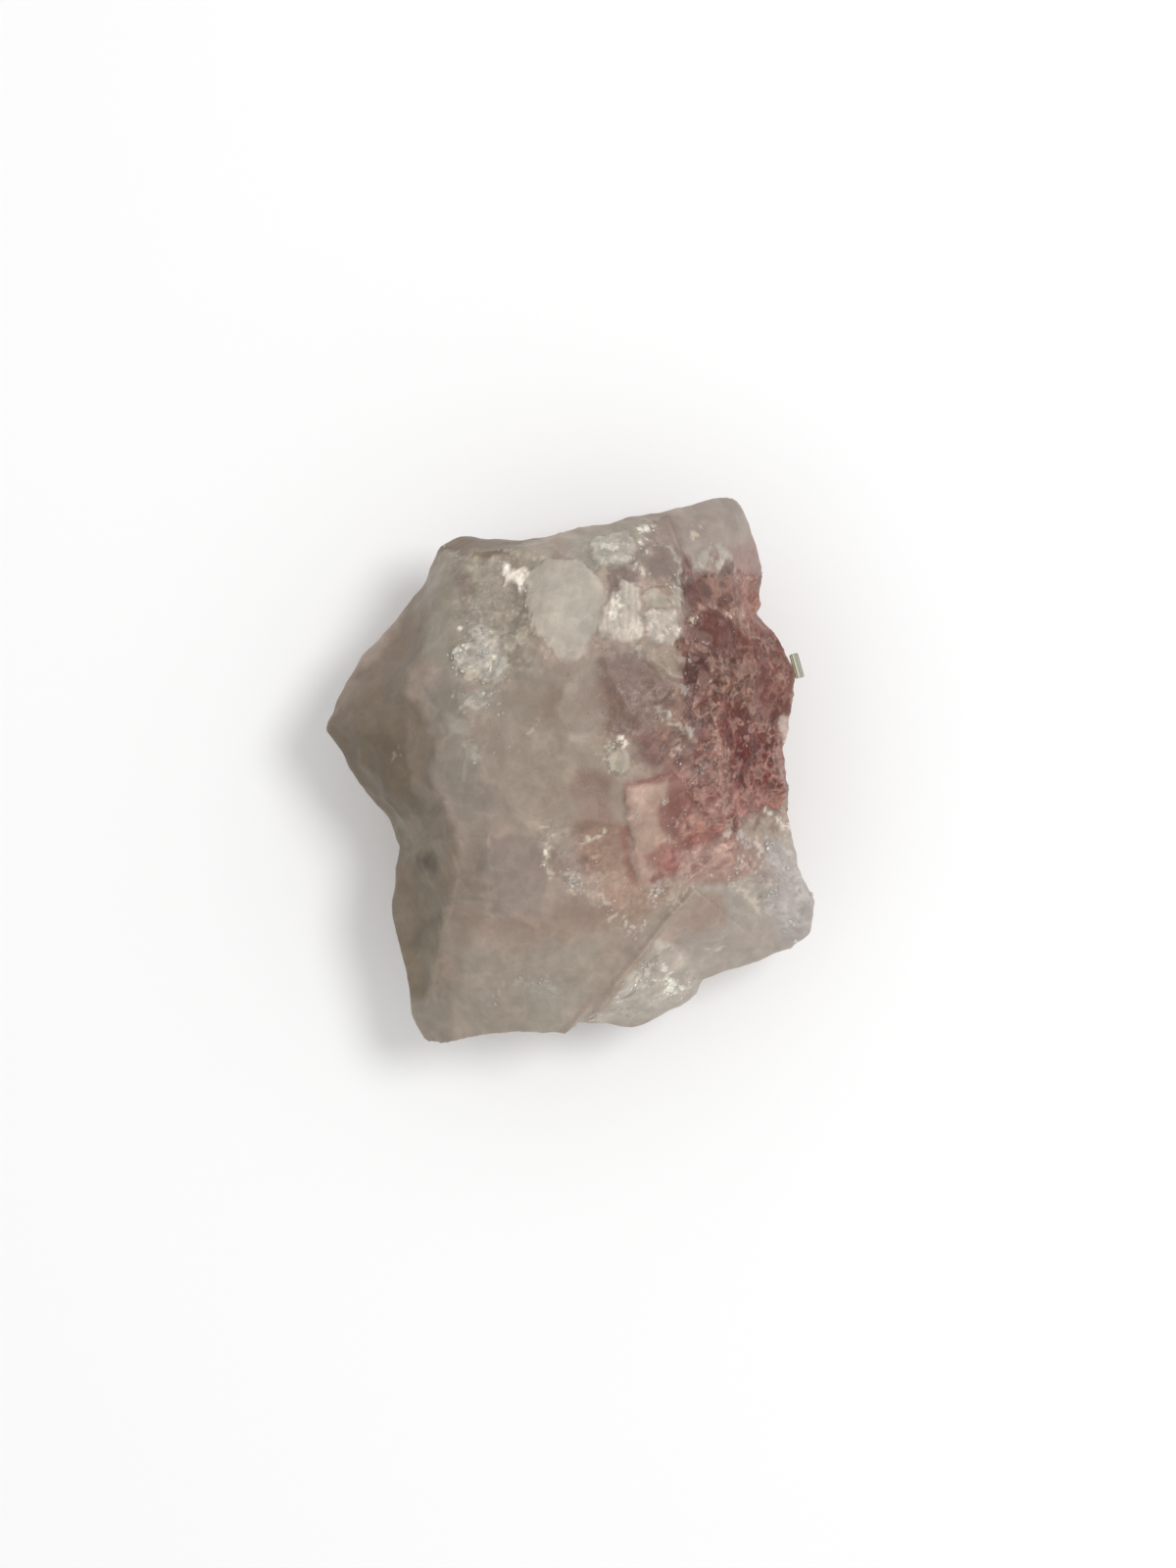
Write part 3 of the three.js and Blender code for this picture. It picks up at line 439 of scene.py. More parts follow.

# Small broken crystals and flakes, and near-white and yellow flakes that are painted glints: tint, width
# of the scatter, how many, their sizes, and the line from above that they lie along.
flakes = {
    "stripEdge": ("milk", 0.5, 30, (0.25, 0.6), [(-12.6, 22.4), (-8.2, 21.2), (-6.8, 22), (-5.2, 22.2)]),
    "hollowScatter": ("pale", 2.2, 150, (0.2, 0.6), [
        (-11, 18), (-8, 19), (-6, 16.5), (-10, 14.5), (-6.5, 13)]),
    "smallTooth": ("snow", 0.18, 24, (0.3, 0.6), [(-6.9, 20.7), (-6.5, 18.8)]),
    "toothShoulder": ("cream", 0.3, 20, (0.3, 0.6), [(-4.8, 20), (-4, 19.2), (-4.6, 18.8)]),
    "toothFoot": ("cream", 0.2, 12, (0.3, 0.6), [(-5, 18), (-4.2, 18)]),
    "shellRim": ("snow", 0.25, 44, (0.35, 0.7), [(-10.3, 12.6), (-11.5, 12), (-11.3, 10.7), (-10.7, 10)]),
    "shellFoot": ("cream", 0.25, 26, (0.35, 0.7), [(-10.5, 10), (-8.7, 9)]),
    "shellFan": ("frost", 0.6, 40, (0.4, 0.9), [(-9, 14.5), (-8, 9.5)]),
    # painted glints on the shell: a near-white flake and yellow ones
    "shellGlint": ("glint", 0.15, 4, (0.45, 0.6), [(-11.4, 14.8), (-11.2, 14.6)]),
    "shellGoldGlint": ("gold", 0.14, 10, (0.2, 0.4), [(-7.8, 11.3), (-8, 10.4)]),
    "shellCream": ("cream", 0.2, 10, (0.3, 0.6), [(-8.9, 14), (-8.3, 13.9)]),
    "faceRim": ("cream", 0.22, 60, (0.3, 0.5), [(-3.9, 20), (-4.2, 17), (-3.9, 14.4), (-1, 11.7)]),
    "wedge": ("frost", 0.25, 12, (0.3, 0.6), [(-9.7, 16.7), (-8.8, 15.3)]),
    "smearFlakes": ("frost", 0.4, 12, (0.3, 0.7), [(-10, 2.7), (-9.3, 1.3)]),
    "patchFlakes": ("bone", 1, 40, (0.3, 0.7), [(-10.5, 7), (-8, 7)]),
    "wispFlakes": ("bone", 0.3, 14, (0.25, 0.5), [(-7.7, 1.9), (-6.8, 2.3), (-1.6, 2.3)]),
    "plateDots": ("bone", 0.3, 8, (0.25, 0.5), [(-3.3, 5.3), (-4, 3.8)]),
    "flankDots": ("fog", 0.3, 4, (0.3, 0.6), [(-18, 1.2), (-17.2, 2.1)]),
    "lumpRim": ("bone", 0.18, 20, (0.3, 0.5), [(2.6, 21.2), (3.4, 20.9), (4.4, 20.9)]),
    "lumpRing": ("bone", 0.15, 16, (0.3, 0.5), [(2.8, 23.4), (4, 23.6), (5, 23), (5, 22)]),
    # painted glints: the glassy lump's white core, and the bright star beside it with its arm
    "glassyGlint": ("snow", 0.3, 16, (0.3, 0.6), [(3.3, 22.5), (4.6, 22.2)]),
    "star": ("glitter", 0.2, 14, (0.25, 0.5), [(7, 24.1), (8.2, 24.1), (8.2, 23.6)]),
    "starArm": ("snow", 0.2, 6, (0.25, 0.5), [(7, 22.9), (7.2, 22.2)]),
    "crestFlakes": ("frost", 0.16, 30, (0.25, 0.5), [(8.9, 23), (10.3, 21.3), (10.8, 19), (11.2, 18.2)]),
    "edgeFlake": ("snow", 0.2, 12, (0.3, 0.6), [(6.6, 20.7), (7.4, 19.4)]),
    "slitFlake": ("cream", 0.22, 18, (0.3, 0.6), [(9, 18.7), (10.7, 18.4)]),
    "toothCore": ("glitter", 0.3, 16, (0.4, 0.7), [(4.9, 17.2), (4.3, 15.4)]),
    # painted glints on the cracked block
    "blockGlints": ("glint", 0.12, 6, (0.3, 0.5), [(8.3, 14.5), (8.4, 14.3)]),
    "blockGlintLow": ("glint", 0.12, 5, (0.3, 0.5), [(10.8, 14), (10.9, 13.8)]),
    "blockGoldGlint": ("gold", 0.12, 5, (0.25, 0.4), [(9.1, 14.1), (9.3, 13.9)]),
    "creamLump": ("cream", 0.35, 14, (0.3, 0.6), [(11.6, 15), (12.5, 15)]),
    "lumpFlakes": ("frost", 0.5, 16, (0.3, 0.8), [(12.7, 20.9), (14.8, 22.7)]),
    "lobeDots": ("cream", 0.3, 10, (0.25, 0.5), [(12.3, 23.8), (12.9, 24.1)]),
    "mauveWisp": ("bone", 0.22, 14, (0.3, 0.6), [(6.6, 12), (7.1, 11.2)]),
    "mauveRidge": ("frost", 0.18, 24, (0.3, 0.6), [(8.2, 6.6), (10.4, 4.6), (11.7, 4)]),
    "mauveChips": ("pearl", 0.3, 16, (0.3, 0.6), [(11, 8.4), (11.6, 7.8)]),
    "mauveLump": ("cream", 0.6, 46, (0.4, 0.9), [(4.1, 2.2), (3.7, 1.2), (4.1, 0.4)]),
    # painted glint
    "mauveGlint": ("glitter", 0.15, 5, (0.25, 0.45), [(5, 3.3), (5.2, 2.8)]),
    "mauveCurl": ("petal", 0.18, 18, (0.3, 0.5), [(10.9, 2.4), (10.1, 2.4), (10, 1.4), (10.7, 0.9)]),
    "mauveScatter": ("mauve", 2.6, 90, (0.2, 0.5), [(5.5, 4.5), (8.5, 2.5), (5.5, 8.5), (3.5, 9)]),
    "salmonSpots": ("petal", 0.25, 10, (0.4, 0.7), [(9.1, -3.1), (9.3, -3.3)]),
    "salmonTick": ("petal", 0.2, 8, (0.3, 0.6), [(6.2, -4.4), (6.4, -3.9)]),
    "salmonGrit": ("paleSalmon", 1.2, 50, (0.25, 0.6), [(9.5, -6), (8.5, -8), (11.5, -5)]),
    "domeCluster": ("cream", 0.45, 28, (0.25, 0.6), [(-2.2, -5.6), (-2.5, -9.3), (-2, -10)]),
    # painted glint
    "domeGlint": ("glint", 0.15, 5, (0.3, 0.5), [(-2.6, -8), (-2.5, -8.1)]),
    "domeSide": ("bone", 0.5, 24, (0.3, 0.7), [(0, -10.5), (0.6, -11.4)]),
    "domeDot": ("snow", 0.15, 6, (0.3, 0.5), [(0.4, -11.1), (0.5, -11.5)]),
    "blushTop": ("cream", 0.35, 14, (0.25, 0.55), [(1.6, -6.9), (3, -6.3)]),
    "blushClump": ("cream", 0.4, 30, (0.3, 0.7), [(0, -10.7), (0.6, -11.3)]),
    "blushChain": ("cream", 0.25, 22, (0.25, 0.6), [(2.8, -12.6), (4, -13.8), (4.1, -14.3)]),
    "blushDot": ("cream", 0.15, 6, (0.25, 0.5), [(5.3, -14.5), (5.4, -15)]),
    "blushGrit": ("paleSalmon", 1.8, 80, (0.2, 0.5), [(1.5, -9), (4, -10), (5.5, -12)]),
    "tongueLeft": ("petal", 0.45, 26, (0.5, 0.9), [(8.9, -10.8), (8.3, -12.6)]),
    "tongueRight": ("petal", 0.45, 26, (0.5, 0.9), [(11.4, -10.6), (10.2, -12.8)]),
    # painted glint
    "tongueGlint": ("glint", 0.1, 3, (0.3, 0.5), [(8.4, -12.2), (8.5, -12.4)]),
    "lavenderFlake": ("petal", 0.4, 20, (0.6, 0.9), [(6.1, -16), (7.1, -15.3)]),
    "ledgeChain": ("cream", 0.35, 26, (0.25, 0.6), [(16, -11), (17.8, -12.4), (19, -13.7)]),
    "pinkSugar": ("petal", 1.6, 90, (0.25, 0.7), [(15.5, -10), (18, -9), (19.5, -11.5)]),
    "cornerChain": ("snow", 0.25, 18, (0.25, 0.5), [(20, -4), (20.8, -5), (22, -5.6)]),
    "roseFlake": ("rosePetal", 0.35, 12, (0.25, 0.55), [(18.6, -6.8), (19.2, -7.9)]),
    "blueFlake": ("bluish", 0.35, 12, (0.3, 0.6), [(17, -6), (17.8, -7.3)]),
    "cornerStreaks": ("bluish", 0.7, 50, (0.3, 0.9), [(20.3, -12.4), (21.6, -14.7), (22.6, -16.5)]),
    "cornerSlant": ("bluish", 0.5, 50, (0.3, 0.7), [(20, -7.5), (22, -10.5), (25, -13.5)]),
    "facetStreak": ("cream", 0.15, 10, (0.25, 0.5), [(13.8, -17.9), (15.3, -17.9)]),
    "nubChain": ("snow", 0.2, 65, (0.25, 0.5), [(5.5, -21.2), (6.2, -22.1), (6.7, -20.4), (7.3, -21.3)]),
    "nubUpper": ("snow", 0.25, 34, (0.25, 0.5), [(7.2, -19.4), (7.9, -20.5)]),
    "nubRim": ("cream", 0.22, 38, (0.3, 0.6), [(7.9, -19.6), (8.2, -17.7), (8.7, -17.2)]),
    # painted glints on the nub
    "nubBright": ("glint", 0.4, 114, (0.25, 0.6), [
        (9.2, -20.8), (10.3, -21.2), (9.7, -22.2), (11.3, -21.9)]),
    "nubBrightTop": ("glitter", 0.2, 30, (0.25, 0.5), [(9.2, -19.2), (9.6, -20.4)]),
    "nubCream": ("gold", 0.18, 27, (0.25, 0.5), [(9, -23.1), (9.9, -22.8)]),
    "nubDot": ("snow", 0.2, 15, (0.3, 0.5), [(4.7, -22.7), (5.1, -23)]),
    "nubPatch": ("bone", 0.35, 30, (0.3, 0.6), [(5.6, -24), (6, -24.6)]),
    "nubFoot": ("cream", 0.25, 19, (0.3, 0.6), [(2.2, -25), (2.9, -25.5)]),
    "nubEdge": ("bone", 0.35, 30, (0.3, 0.7), [(11.7, -20.6), (12.8, -21)]),
    "footFlakes": ("frost", 0.3, 12, (0.25, 0.55), [(-7, -21.3), (-8.8, -24.7)]),
    "footPatch": ("milk", 0.6, 30, (0.3, 0.7), [(-5, -21), (-3.5, -21.5)]),
    "footCurl": ("frost", 0.35, 12, (0.25, 0.6), [(-2.6, -21), (-1.5, -21.8), (-1.4, -22.9)]),
}


def chance(n, k):
    # the same number from 0 to 1 every time: the fraction of 43758.5453 sin(12.9898 n + 78.233 k)
    wave = np.sin(n * 12.9898 + k * 78.233) * 43758.5453
    return wave - np.floor(wave)


def ease(value, low, high):
    # 0 below low, 1 above high, and 3t² - 2t³ between
    t = np.clip((value - low) / (high - low), 0, 1)
    return t * t * (3 - 2 * t)


def cellNumber(cell, mix=(1, 611, 7919)):
    # one number for each cube of space
    return cell[..., 0] * mix[0] + cell[..., 1] * mix[1] + cell[..., 2] * mix[2]


def cloud(points, size, seed):
    # soft noise from -1 to 1: chance at the corners of cubes of this size, eased in between
    cell = np.floor(points / size)
    part = points / size - cell
    part = part * part * (3 - 2 * part)
    total = np.zeros(points.shape[:-1])
    for step in np.ndindex(2, 2, 2):
        share = np.prod(np.abs(1 - np.array(step) - part), axis=-1)
        total += share * (2 * chance(cellNumber(cell + step), seed) - 1)
    return total


def clouds(points, size, seed, octaves=3):
    # noise of several sizes: each octave is half as wide and half as strong
    return sum(cloud(points, size / 2 ** k, seed + k) / 2 ** k for k in range(octaves))


def scoops(points, size, tilt, rise, mix=(1, 611, 7919)):
    # shallow bowls that meet in ridges: the lowest of (rise + tilt . d + d²/2size) over the cells around,
    # the number of the cell that is lowest, and how much higher the next one is
    depth = np.full(points.shape[:-1], np.inf)
    second = depth.copy()
    owner = np.zeros(points.shape[:-1])
    for step in np.ndindex(3, 3, 3):
        cell = np.floor(points / size) + np.array(step) - 1
        n = cellNumber(cell, mix)
        away = points - (cell + np.stack([chance(n, 1), chance(n, 2), chance(n, 3)], -1)) * size
        lean = np.stack([chance(n, 4), chance(n, 5), chance(n, 6)], -1) - 0.5
        bowl = 0.5 * (away ** 2).sum(-1) / size
        here = rise * (chance(n, 7) - 0.5) + 2 * tilt * (lean * away).sum(-1) + bowl
        owner = np.where(here < depth, n, owner)
        second = np.minimum(second, np.maximum(depth, here))
        depth = np.minimum(depth, here)
    return depth, owner, second - depth


def lineDistance(points, line):
    # distance in plan to a line of straight stretches, positive on its left, and 1 beside the line's
    # stretches but 0 past its ends
    x, y = points[..., 0], points[..., 1]
    nearest = np.full(x.shape, np.inf)
    signed = np.zeros(x.shape)
    beside = np.zeros(x.shape)
    for k, ((ax, ay), (bx, by)) in enumerate(zip(line, line[1:])):
        dx, dy = bx - ax, by - ay
        free = ((x - ax) * dx + (y - ay) * dy) / (dx * dx + dy * dy)
        along = np.clip(free, 0, 1)
        distance = np.hypot(x - ax - along * dx, y - ay - along * dy)
        side = np.sign(dx * (y - ay) - dy * (x - ax))
        past = ((k == 0) & (free < 0)) | ((k == len(line) - 2) & (free > 1))
        closer = distance < nearest
        nearest = np.where(closer, distance, nearest)
        signed = np.where(closer, side * distance, signed)
        beside = np.where(closer, 1.0 - past, beside)
    return signed, beside


def outlineDistance(points, outline):
    # distance in plan to a closed outline, negative inside it
    x, y = points[..., 0], points[..., 1]
    closed = outline + outline[:1]
    inside = np.zeros(x.shape, bool)
    for (ax, ay), (bx, by) in zip(closed, closed[1:]):
        crosses = (ay > y) != (by > y)
        inside ^= crosses & (x < ax + (y - ay) * (bx - ax) / (by - ay if by != ay else 1e-9))
    return np.where(inside, -1, 1) * np.abs(lineDistance(points, closed)[0])


def cageTriangles():
    # corners that are neighbours as seen from the heart share a triangle: the hull of their directions
    corners = np.array(sum(rockForm.values(), []), float) - heart
    ways = corners / np.linalg.norm(corners, axis=1)[:, None]
    ball = bmesh.new()
    for way in ways:
        ball.verts.new(way)
    ball.verts.ensure_lookup_table()
    bmesh.ops.convex_hull(ball, input=ball.verts)
    triples = np.array([[v.index for v in face.verts] for face in ball.faces])
    ball.free()
    return corners[triples]


inverses = np.linalg.inv(np.swapaxes(cageTriangles(), 1, 2))


def cageReach(ways):
    # how far the cage lies along each way: with w = inverse of a triangle's corners times the way, the
    # triangle is the one whose least w is largest, and the distance is 1 / (w1 + w2 + w3)
    reach = []
    for some in np.array_split(ways.reshape(-1, 3), 24):
        w = np.einsum("tij,nj->nti", inverses, some)
        total = w.sum(-1)
        least = w.min(-1) / np.abs(w).sum(-1)
        best = least.argmax(1)
        reach.append(1 / total[np.arange(len(some)), best])
    return np.concatenate(reach).reshape(ways.shape[:-1])


def blurred(grid, cells):
    # a Gaussian mean over neighbouring columns, which close on themselves, and rows, which do not
    reach = int(3 * cells) + 1
    weights = np.exp(-0.5 * (np.arange(-reach, reach + 1) / cells) ** 2)
    weights /= weights.sum()
    columns = sum(w * np.roll(grid, k, axis=1) for k, w in zip(range(-reach, reach + 1), weights))
    padded = np.pad(columns, ((reach, reach), (0, 0)), mode="edge")
    return sum(w * padded[k:k + grid.shape[0]] for k, w in enumerate(weights))


def gridNormals(points):
    # the cross product of the steps along the columns and the rows
    across = np.roll(points, -1, axis=1) - np.roll(points, 1, axis=1)
    along = np.gradient(points, axis=0)
    normals = np.cross(across, along)
    return normals / np.maximum(np.linalg.norm(normals, axis=-1), 1e-9)[..., None]


def ballFaces(rows, columns):
    # rows of vertices round a ball, with the first pole before them and the last pole after them
    index = 1 + np.arange(rows * columns).reshape(rows, columns)
    nextColumn = np.roll(index, -1, axis=1)
    quads = np.stack([index[:-1], nextColumn[:-1], nextColumn[1:], index[1:]], -1).reshape(-1, 4)
    last = rows * columns + 1
    first = [(0, b, a) for a, b in zip(index[0].tolist(), nextColumn[0].tolist())]
    end = [(last, a, b) for a, b in zip(index[-1].tolist(), nextColumn[-1].tolist())]
    return quads.tolist() + first + end


def closeBall(grid):
    # the rows as one list, with the mean of the first row before it and of the last row after it
    flat = grid.reshape(-1, *grid.shape[2:])
    return np.concatenate([[grid[0].mean(0)], flat, [grid[-1].mean(0)]])


def turned(points, way):
    # points turned so that +Z comes onto the way: 1 + k + k²/(1 + lift), with k the cross-product matrix
    axis = np.array(way) / np.linalg.norm(way)
    x, y, lift = axis
    k = np.array([[0, 0, x], [0, 0, y], [-x, -y, 0]])
    return points @ (np.eye(3) + k + k @ k / (1 + lift)).T


prismForm = {
    "middle": (22.9, 10.8, 13.6), "lean": (0.26, -0.96, 0.12), "length": 2.5, "radius": 0.42,
    "corners": 0.12,  # how far its three edges stand out, as a share of the radius
    "ribs": 9, "ribDepth": 0.04, "steps": 108, "rows": 34,
    # the dark tint, with the light gain on top, paints light on the prism's left side and shade on its
    # right
    "dark": (0.1, 0.095, 0.07), "light": (0.6, 0.6, 0.46), "sideways": 0.27, "matte": 0.3,
}


def prismSurface():
    # a rounded, ribbed triangle in section, radius (1 + corners cos 3a) + depth cos(ribs a), along its lean
    form = prismForm
    turn = np.linspace(0, 2 * math.pi, form["steps"], endpoint=False)
    along = np.linspace(-0.5, 0.5, form["rows"])[:, None] * form["length"]
    crown = np.clip((form["length"] / 2 - np.abs(along)) / 0.1, 0.02, 1) ** 0.5
    ribs = form["ribDepth"] * np.cos(form["ribs"] * turn)
    reach = form["radius"] * (1 + form["corners"] * np.cos(3 * turn)) + ribs
    reach = reach * (0.9 + 0.1 * crown)
    upright = np.stack([reach * np.cos(turn), reach * np.sin(turn), along + 0 * turn], -1)
    return turned(upright, form["lean"]) + form["middle"], turn, along


def tablesOrigin():
    # where the tables' origin lies in the frame: the prism is at its place in both
    points = prismSurface()[0].reshape(-1, 3)
    low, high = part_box("side_prism")
    return (np.array(low) + np.array(high)) / 2 / millimetre - (points.min(0) + points.max(0)) / 2


tableOrigin = tablesOrigin()
print("the tables' origin lies at", np.round(tableOrigin, 2))


def makeMesh(name, vertices, faces, layers=None, smooth=True):
    # vertices in millimetres in the tables' frame; layers are one value or colour for each vertex
    mesh = bpy.data.meshes.new(name)
    mesh.from_pydata(((vertices + tableOrigin) * millimetre).tolist(), [], faces)
    for layer, values in (layers or {}).items():
        if values.ndim == 2:
            full = np.column_stack([values, np.ones(len(values))])
            mesh.color_attributes.new(layer, "FLOAT_COLOR", "POINT").data.foreach_set("color", full.ravel())
        else:
            mesh.attributes.new(layer, "FLOAT", "POINT").data.foreach_set("value", values)
    mesh.polygons.foreach_set("use_smooth", np.full(len(mesh.polygons), smooth))
    mesh.update()
    piece = bpy.data.objects.new(name, mesh)
    bpy.context.collection.objects.link(piece)
    print(name, "has", len(mesh.vertices), "vertices,", round(time.time() - started, 1), "s")
    return piece


def settle(piece, node):
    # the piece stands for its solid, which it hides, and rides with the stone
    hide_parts(node)
    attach(piece, "root")


rockFinish = {
    "upper": 292, "lower": 62, "rows": 278, "reach": (27, 29, 12.5), "squareness": 2.6,
    "colour": (0.327, 0.263, 0.217),
    # the large chipped facets, and how much shallower they are on the crown and along the rim
    "chips": {"size": 5.5, "tilt": 0.22, "rise": 0.3, "level": 0.42, "crown": 0.45, "rim": 0.85},
    "rim": (13.5, 3.5),  # its height, and how far it reaches up and down
    "sunk": 1.2,  # how far the skin drops where the tourmaline comes through
    # the bowls of the ground: width, tilt and rise
    "bowls": {
        "large": (2.2, 0.45, 0.5), "middling": (1.1, 0.5, 0.6), "small": (0.6, 0.5, 0.6),
        "tiny": (0.38, 0.6, 0.7),
    },
    # how deep the bowls are everywhere, and how much more low on the sides, on the crown and on broken
    # ground; then the depth that is level with the skin
    "depths": {
        "large": (0.2, 0.3, -0.12, 0.3, 0.1), "middling": (0.03, 0.12, 0, 0.34, 0.05),
        "small": (0.01, 0, 0, 0.26, 0),
    },
    "swell": 0.05,
    # how strongly each thing mottles the tint; the pairs are everywhere and on broken ground, and bright
    # middling and small bowls
    "broadPatches": 0.09, "patches": 0.09, "finePatches": 0.07, "wisps": 0.14, "rosy": 0.035,
    # ridges: pale lines between bowls, partly pale quartz and partly a painted highlight along the crests
    "bowlShades": (0.03, 0.34), "brightBowls": (0.3, 0.35), "ridges": 0.16,
    "warmth": (1.03, 1, 0.985),
}

tourmalineOutline = [
    (19.8, 20.6), (16.8, 20), (13.4, 19.9), (11.6, 20.4), (11.1, 18.4), (11.3, 16.6), (12.6, 16),
    (12.9, 14.7), (11.4, 13.6), (10.6, 12.2), (10.4, 10), (11.6, 8), (12.2, 6.4), (12.4, 4), (12, 2.2),
    (12.2, 0.2), (12.4, -2), (13, -4.6), (14.4, -6.6), (16.2, -5.6), (18.2, -4.6), (20.6, -3.4), (30, -3),
    (30, 20.8),
]


def tourmalineEdge(points):
    # how far inside the tourmaline's patch a place lies: inside its outline from above, and above the
    # seam that it leaves low on the right side, both of them ragged
    stray = np.stack([clouds(points, 2.4, 5, 3), clouds(points, 2.4, 9, 3)], -1) * 1.2
    edge = -outlineDistance(points[..., :2] + stray, tourmalineOutline)
    seam = points[..., 2] - 6.4 + 1.6 * clouds(points, 4.0, 13)
    return np.minimum(edge, seam)


massFinish = {
    "outer": 310, "inner": 20, "rows": 290,
    "turn": (-30, 57),  # degrees round +Y, from level on the right up over the top
    "tilt": (-26, 59),  # degrees towards +Y
    "thickness": 4.5, "tiny": 0.22,  # how high its smallest facets stand
    # how high it lies over the quartz where it shows and beside that, and how much lower further off
    "over": 0.12, "under": -0.24, "away": 1.5,
    # the film tint is partly the pale quartz between grains and partly a painted highlight along the bowls'
    # ridges
    "colour": (0.15, 0.066, 0.05), "film": (0.36, 0.25, 0.2),
    "shades": (0.26, 0.56, 0.45, 0.22), "level": 0.72,  # how much bowls of each size differ in shade
    "hues": (0.85, 1.05, 1.1),                          # a darker bowl is redder too
    "filmWidths": (0.17, 0.09), "flecks": (0.9, 0.92),  # over middling and small, small and tiny bowls
}


def evened(v):
    # from -1 to 1 in even steps that shrink towards the ends: steep v up to the bend, and beyond it
    # 1 - fall (1 - v)², which sets out from there with the same slope
    steep, bend, fall = 1.087, 0.84, 3.397
    far = np.sign(v) * (1 - fall * (1 - np.abs(v)) ** 2)
    return np.where(np.abs(v) < bend, steep * v, far)


def rockWays():
    # directions over |x/a|^p + |y/b|^p + |z/c|^p = 1 with poles at the ends of +Y and -Y: each row runs
    # over the top in many columns and back underneath in few
    form = rockFinish
    p = form["squareness"]
    s = np.concatenate([
        evened(np.linspace(1, -1, form["upper"], endpoint=False)),
        evened(np.linspace(-1, 1, form["lower"], endpoint=False)),
    ])
    rise = (1 - np.abs(s) ** p) ** (1 / p) * np.where(np.arange(len(s)) < form["upper"], 1, -1)
    t = evened(np.linspace(1, -1, form["rows"] + 2)[1:-1, None])
    narrow = (1 - np.abs(t) ** p) ** (1 / p)
    ball = np.stack([s * narrow, t + 0 * s, rise * narrow], -1) * form["reach"]
    return ball / np.linalg.norm(ball, axis=-1)[..., None]


def creaseShare(points):
    # 1 along the creases that stay sharp
    share = np.zeros(points.shape[:-1])
    for name in ("slantingRidge", "slantingFoot", "topEdge"):
        line = [corner[:2] for corner in rockForm[name]]
        share = np.maximum(share, 1 - ease(np.abs(lineDistance(points, line)[0]), 0.8, 2.2))
    return share


def stoneSkin(ways, cells):
    # the cage, chipped back in scoops along the way from the heart; cells is how many grid cells go into
    # a quarter of a millimetre; the crown's creases are eased more than the rim's and the sharp ones
    reach = cageReach(ways)
    crisp, soft = blurred(reach, 0.8 * cells), blurred(reach, 6 * cells)
    points = heart + ways * crisp[..., None]
    crown = ease(points[..., 2], 14, 20)
    reach = crisp + crown * (1 - creaseShare(points)) * (soft - crisp)
    points = heart + ways * reach[..., None]
    form = rockFinish["chips"]
    chips = scoops(points, form["size"], form["tilt"], form["rise"], (31, 57, 97))[0] - form["level"]
    chips = blurred(chips, 0.6 * cells)
    height, spread = rockFinish["rim"]
    rim = np.exp(-((points[..., 2] - height) / spread) ** 2)
    chips = ease(points[..., 2], 0.2, 4) * (1 - form["crown"] * crown) * (1 - form["rim"] * rim) * chips
    return heart + ways * (reach + chips)[..., None]


def stepRelief(points):
    # each step rises to the left of its line and dies out: height exp(-d/run) for d > 0
    relief = np.zeros(points.shape[:-1])
    stray = np.stack([cloud(points, 1.1, 121), cloud(points, 1.1, 122)], -1) * 0.16
    for height, run, line in steps.values():
        distance, beside = lineDistance(points[..., :2] + stray, line)
        ends = 1 - ease(np.abs(distance), 0, 1.2) * (1 - beside)
        rise = ease(distance, -0.1, 0.25) * np.exp(-np.maximum(distance, 0) / run)
        relief += height * rise * ends * (beside + (1 - beside) * (1 - ease(np.abs(distance), 0, 0.8)))
    return relief * ease(points[..., 2], 13, 16)


def mixed(tint, share, colour):
    # tint + share (colour - tint), for one of the stone's colours
    return tint + share[..., None] * (np.array(tints[colour]) - tint)


def patches(points, size, seed):
    # -0.5 or 0.5 in ragged patches of about this size, with soft edges
    return ease(clouds(points, size, seed, 3), -0.14, 0.14) - 0.5


def grooves(place, depth, spacing, turn):
    # lines across a plate, depth |cos(pi across/spacing)|^6
    c, s = math.cos(math.radians(turn)), math.sin(math.radians(turn))
    across = place[..., 1] * c - place[..., 0] * s
    return depth * np.abs(np.cos(math.pi * across / spacing)) ** 6


